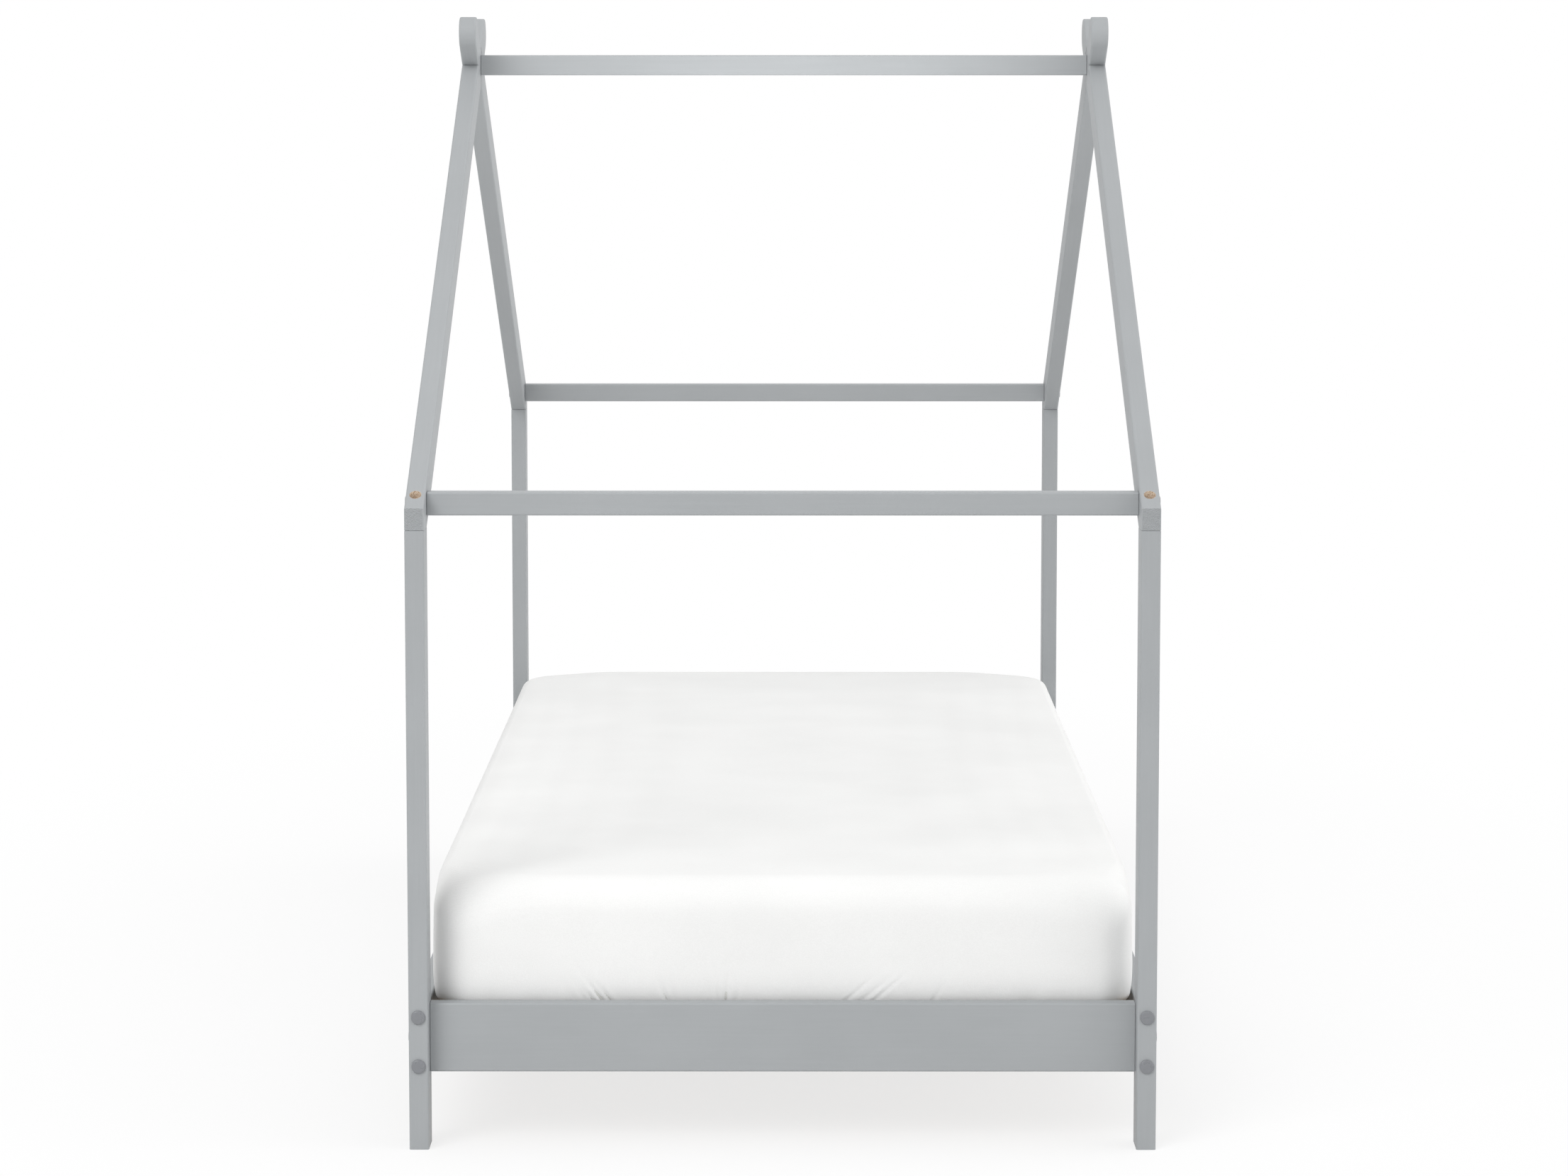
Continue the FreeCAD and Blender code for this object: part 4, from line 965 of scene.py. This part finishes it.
def rail_creases(points, height):
    """The short creases above the foot rail, on the front face alone."""
    lift = np.zeros(len(points))
    front = np.clip((-points[:, 1] - (SHEET_HIGH.y - FACE_DEPTH)) / FACE_FADE, 0, 1)
    visible = height - (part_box("end_rail_front")[1].z - SHEET_LOW.z)
    for place, lean, reach, depth in RAIL_CREASES:
        away = points[:, 0] - (place + lean * np.maximum(visible, -0.02))
        fade = np.exp(-(np.maximum(visible, 0) / reach) ** 1.5)
        lift += depth * fade * fold_section(away, CREASE_WIDTH * (1 + 10 * np.maximum(visible, 0)))
    return lift * front


def broad_waves(ring, travel, height):
    """Slack between the places where the elastic pulls, on all four sides."""
    total = ring.travel[-1]
    lift = np.zeros_like(travel)
    draw = random.Random(GATHER_SEED + 1)
    for count in WAVE_COUNTS:
        lift += draw.uniform(0.5, 1.0) * np.sin(2 * math.pi * count * travel / total
                                                + draw.uniform(0, 6.3)) / math.sqrt(count)
    return WAVE_DEPTH * lift * np.exp(-height / WAVE_REACH)


def sheet_grid(settings):
    """The sheet's ring form, and its rings from the hem to the middle of the top."""
    half_width = MATTRESS_HIGH.x + BULGE[0] + SHEET_CLEAR
    half_length = MATTRESS_HIGH.y + BULGE[1] + SHEET_CLEAR
    ring = Ring(half_width, half_length, settings.corner + SHEET_CLEAR)
    low = MATTRESS_LOW.z - SHEET_CLEAR
    high = MATTRESS_HIGH.z + SHEET_CLEAR
    return ring, mattress_rings(ring, settings, SHEET_CLEAR, low, high, settings.hem_turn)


def offsets_to(tree, grid, normals, clear):
    """How far each point has to move along its normal to lie a clearance above a surface."""
    reach = 2 * SWELL_CAP
    moves = np.zeros(grid.shape[:2])
    for spot in np.ndindex(moves.shape):
        normal = Vector(normals[spot])
        start = Vector(grid[spot]) + normal * reach
        distance = tree.ray_cast(start, -normal, 2 * reach)[3]
        if distance is not None:
            moves[spot] = reach - distance + clear
    return moves


def eased(grid, passes):
    """Even out a grid of points: along each ring and from ring to ring."""
    for _ in range(passes):
        round_it = (np.roll(grid, 1, axis=1) + np.roll(grid, -1, axis=1)) / 2
        across = grid.copy()
        across[1:-1] = (grid[:-2] + grid[2:]) / 2
        grid = 0.4 * grid + 0.3 * round_it + 0.3 * across
    return grid


def grid_normals(grid):
    """Outward normals of a grid of rings."""
    along = np.roll(grid, -1, axis=1) - np.roll(grid, 1, axis=1)
    up = np.gradient(grid, axis=0)
    normal = np.cross(along, up)
    return normal / np.maximum(np.linalg.norm(normal, axis=2, keepdims=True), 1e-9)


def sheet_points(settings, body):
    """The grid of the sheet: laid on the mattress, evened out, then gathered and creased."""
    ring, rings = sheet_grid(settings)
    grid = np.stack(rings)
    tree = BVHTree.FromObject(body, bpy.context.evaluated_depsgraph_get())
    normals = grid_normals(grid)
    moves = eased(offsets_to(tree, grid, normals, SHEET_CLEAR), SETTLE_PASSES)
    grid = grid + normals * moves[:, :, None]
    normals = grid_normals(grid)
    travel = np.broadcast_to(ring.travel, grid.shape[:2])
    height = np.maximum(grid[:, :, 2] - SHEET_LOW.z, 0)
    upright = np.clip(UPRIGHT - UPRIGHT * np.abs(normals[:, :, 2]), 0, 1)
    lift = corner_gathers(ring, travel, height) + broad_waves(ring, travel, height)
    lift += rail_creases(grid.reshape(-1, 3), height.ravel()).reshape(travel.shape)
    grid = grid + normals * (lift * upright)[:, :, None]
    past = Vector((BULGE[0] - settings.cloth, BULGE[1], 0.0))
    low = SHEET_LOW - past
    low.z = SLAT_TOP + SLAT_CLEAR + settings.cloth
    return np.clip(grid, low, SHEET_HIGH + past)


def cotton():
    """White cotton: a plain weave, a soft nap and slight cloudiness."""
    settings = bpy.context.scene.bed_bedding
    material, tree, place = new_finish("white_cotton_cloth")
    nap = noise(tree, place, 650.0, 3.0, 0.6)
    across, along, upright = (waves(tree, place, axis, 330.0, 0.4) for axis in "XYZ")
    threads = maths(tree, "MAXIMUM", times(tree, across, along), upright)
    tone = mixture(tree, (nap, 0.5), (noise(tree, place, 5.0), 0.5))
    shade = blended(tree, step_up(tree, tone, 0.3, 0.7), darker(settings.cotton, 0.94), settings.cotton)
    return finished(material, mixture(tree, (threads, 0.35), (nap, 0.65)), 0.00022, {
        "Base Color": shade, "Roughness": 0.9, "Specular IOR Level": 0.25, "Sheen Weight": 0.08})


class BED_OT_fitted_sheet(bpy.types.Operator):
    """Pull the fitted sheet over the mattress, with its gathers, creases and hem"""
    bl_idname = "bed.fitted_sheet"
    bl_label = "Fitted Sheet"

    def execute(self, context):
        settings = context.scene.bed_bedding
        body = bpy.data.objects["mattress_body"]
        cloth = lofted("fitted_sheet_cloth", sheet_points(settings, body), False)
        cloth.data.materials.append(cotton())
        thick = cloth.modifiers.new("Thickness", "SOLIDIFY")
        thick.thickness = settings.cloth
        thick.offset = 0.0
        cloth = baked(cloth, "fitted_sheet_cloth")
        face_outwards(cloth, CLOTH_MERGE)
        smooth(cloth, CLOTH_SHARP)
        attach(cloth, "mattress")
        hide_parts("fitted_sheet")
        return {"FINISHED"}


# ---- Stage, lights and camera ----
CAMERA_PLACE = (0.0090, -6.3404, 1.3518)
CAMERA_PITCH = 5.66     # degrees below the horizon
CAMERA_YAW = 0.078
CAMERA_SHIFT = -0.05    # keeps the uprights nearly parallel in the picture
SENSOR = 36.0
SHADOW_SHARE = 0.24     # how much of the floor's own shading the camera sees under the bed
SHADOW_NEAR = 0.7       # distance at which that share starts to fall
SHADOW_FAR = 1.9        # distance at which nothing of it is left
SHADOW_SQUASH = (1.0, 0.55, 0.0)   # the patch is longer along the bed
FLOOR_WHITE = (0.86, 0.86, 0.86, 1.0)
FLOOR_SIDES = 96
WHITE = (1.0, 1.0, 1.0, 1.0)
WALL_FOCUS = 4.0        # how closely the light from the right keeps to the side
KEY_PLACE = (-5.5, -9.2, 8.2)
KEY_TARGET = (0, 0, 0.8)
KEY_SIZE = 7.9
SPOT_PLACE = (0, -0.85, 0.95)
SPOT_ANGLE = 64         # degrees
SPOT_SOFTNESS = 0.15


def seen_directly(tree):
    """1 for rays from the camera, off gloss or through glass."""
    rays = add_node(tree, "ShaderNodeLightPath")
    seen = maths(tree, "MAXIMUM", rays.outputs["Is Camera Ray"], rays.outputs["Is Glossy Ray"])
    return maths(tree, "MAXIMUM", seen, rays.outputs["Is Transmission Ray"])


def floor_material():
    """Pale matt floor that fades to the white background away from the bed."""
    material, tree, place = new_finish("pale_floor")
    shader = tree.nodes["Principled BSDF"]
    wire(tree, shader, {"Base Color": FLOOR_WHITE, "Roughness": 1.0, "Specular IOR Level": 0.0})
    glow = add_node(tree, "ShaderNodeEmission", {"Color": WHITE, "Strength": 1.0})
    fade = step_up(tree, length_of(tree, place, SHADOW_SQUASH), SHADOW_NEAR, SHADOW_FAR)
    white = plus(tree, 1 - SHADOW_SHARE, times(tree, fade, SHADOW_SHARE))
    mix = add_node(tree, "ShaderNodeMixShader", {
        0: times(tree, white, seen_directly(tree)), 1: shader.outputs["BSDF"],
        2: glow.outputs["Emission"]})
    tree.links.new(mix.outputs["Shader"], tree.nodes["Material Output"].inputs["Surface"])
    return material


def make_floor(settings):
    work = bmesh.new()
    bmesh.ops.create_circle(work, cap_ends=True, radius=settings.floor_radius, segments=FLOOR_SIDES)
    mesh = bpy.data.meshes.new("floor")
    work.to_mesh(mesh)
    work.free()
    floor = added("floor", mesh)
    mesh.materials.append(floor_material())


def make_world(settings):
    """White where it is seen. Its light comes mostly from above and from a wall on the right."""
    world = bpy.data.worlds.new("studio")
    world.use_nodes = True
    tree = world.node_tree
    way = parts_of(tree, add_node(tree, "ShaderNodeTexCoord").outputs["Generated"])
    above = maths(tree, "MAXIMUM", way["Z"], 0.0)
    right = maths(tree, "POWER", maths(tree, "MAXIMUM", way["X"], 0.0), WALL_FOCUS)
    light = plus(tree, mixture(tree, (above, settings.ceiling), (right, settings.wall)), settings.sky)
    strength = add_node(tree, "ShaderNodeMix", {"Factor": seen_directly(tree), "A": light, "B": 1.0})
    wire(tree, tree.nodes["Background"], {"Color": WHITE, "Strength": strength.outputs["Result"]})
    bpy.context.scene.world = world


def aim(lamp, place, target):
    """A light object that shines from a place towards a target and isn't seen itself."""
    light = added(lamp.name, lamp)
    light.location = place
    light.rotation_euler = (Vector(target) - Vector(place)).to_track_quat("-Z", "Y").to_euler()
    light.visible_camera = False


def make_lights(settings):
    key = bpy.data.lights.new("key", "AREA")
    key.shape = "DISK"
    key.size = KEY_SIZE
    key.energy = settings.key_power
    aim(key, KEY_PLACE, KEY_TARGET)
    spot = bpy.data.lights.new("ridge_spot", "SPOT")
    spot.spot_size = math.radians(SPOT_ANGLE)
    spot.spot_blend = 1.0
    spot.shadow_soft_size = SPOT_SOFTNESS
    spot.energy = settings.ridge_power
    aim(spot, SPOT_PLACE, (0, 0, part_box("ridge_beam")[1].z))


def make_camera(settings):
    lens = bpy.data.cameras.new("camera")
    lens.lens = settings.lens
    lens.sensor_width = SENSOR
    lens.shift_y = CAMERA_SHIFT
    camera = added("camera", lens)
    camera.location = CAMERA_PLACE
    camera.rotation_euler = (math.radians(90 - CAMERA_PITCH), 0, math.radians(CAMERA_YAW))
    bpy.context.scene.camera = camera


class BED_OT_stage(bpy.types.Operator):
    """Make the floor, the white background, the lights and the camera"""
    bl_idname = "bed.stage"
    bl_label = "Stage"

    def execute(self, context):
        settings = context.scene.bed_stage
        make_floor(settings)
        make_world(settings)
        make_lights(settings)
        make_camera(settings)
        context.scene.view_settings.view_transform = "Standard"
        return {"FINISHED"}


class BED_PT_panel(bpy.types.Panel):
    """Buttons for the bed's pieces"""
    bl_idname = "BED_PT_panel"
    bl_label = "House Frame Bed"
    bl_space_type = "VIEW_3D"
    bl_region_type = "UI"
    bl_category = "Bed"

    def draw(self, context):
        for settings, operators in SECTIONS:
            box = self.layout.box()
            group = getattr(context.scene, settings)
            for name in group.bl_rna.properties.keys():
                if name not in ("rna_type", "name"):
                    box.prop(group, name)
            for operator in operators:
                box.operator(operator.bl_idname)


SETTINGS = [("bed_paint", PaintSettings), ("bed_wood", WoodSettings), ("bed_caps", CapSettings),
            ("bed_bedding", BeddingSettings), ("bed_stage", StageSettings)]
SECTIONS = [
    ("bed_paint", [BED_OT_paint_frame]),
    ("bed_wood", [BED_OT_slats, BED_OT_hardware]),
    ("bed_caps", [BED_OT_bolt_caps]),
    ("bed_bedding", [BED_OT_mattress, BED_OT_fitted_sheet]),
    ("bed_stage", [BED_OT_stage]),
]
OPERATORS = [operator for _, operators in SECTIONS for operator in operators]


def register():
    for name, group in SETTINGS:
        bpy.utils.register_class(group)
        setattr(bpy.types.Scene, name, bpy.props.PointerProperty(type=group))
    for operator in OPERATORS:
        bpy.utils.register_class(operator)
    bpy.utils.register_class(BED_PT_panel)


def unregister():
    bpy.utils.unregister_class(BED_PT_panel)
    for operator in reversed(OPERATORS):
        bpy.utils.unregister_class(operator)
    for name, group in reversed(SETTINGS):
        delattr(bpy.types.Scene, name)
        bpy.utils.unregister_class(group)


def main():
    register()
    bpy.ops.bed.paint_frame()
    bpy.ops.bed.slats()
    bpy.ops.bed.hardware()
    bpy.ops.bed.bolt_caps()
    bpy.ops.bed.mattress()
    bpy.ops.bed.fitted_sheet()
    bpy.ops.bed.stage()


if __name__ == "__main__":
    main()
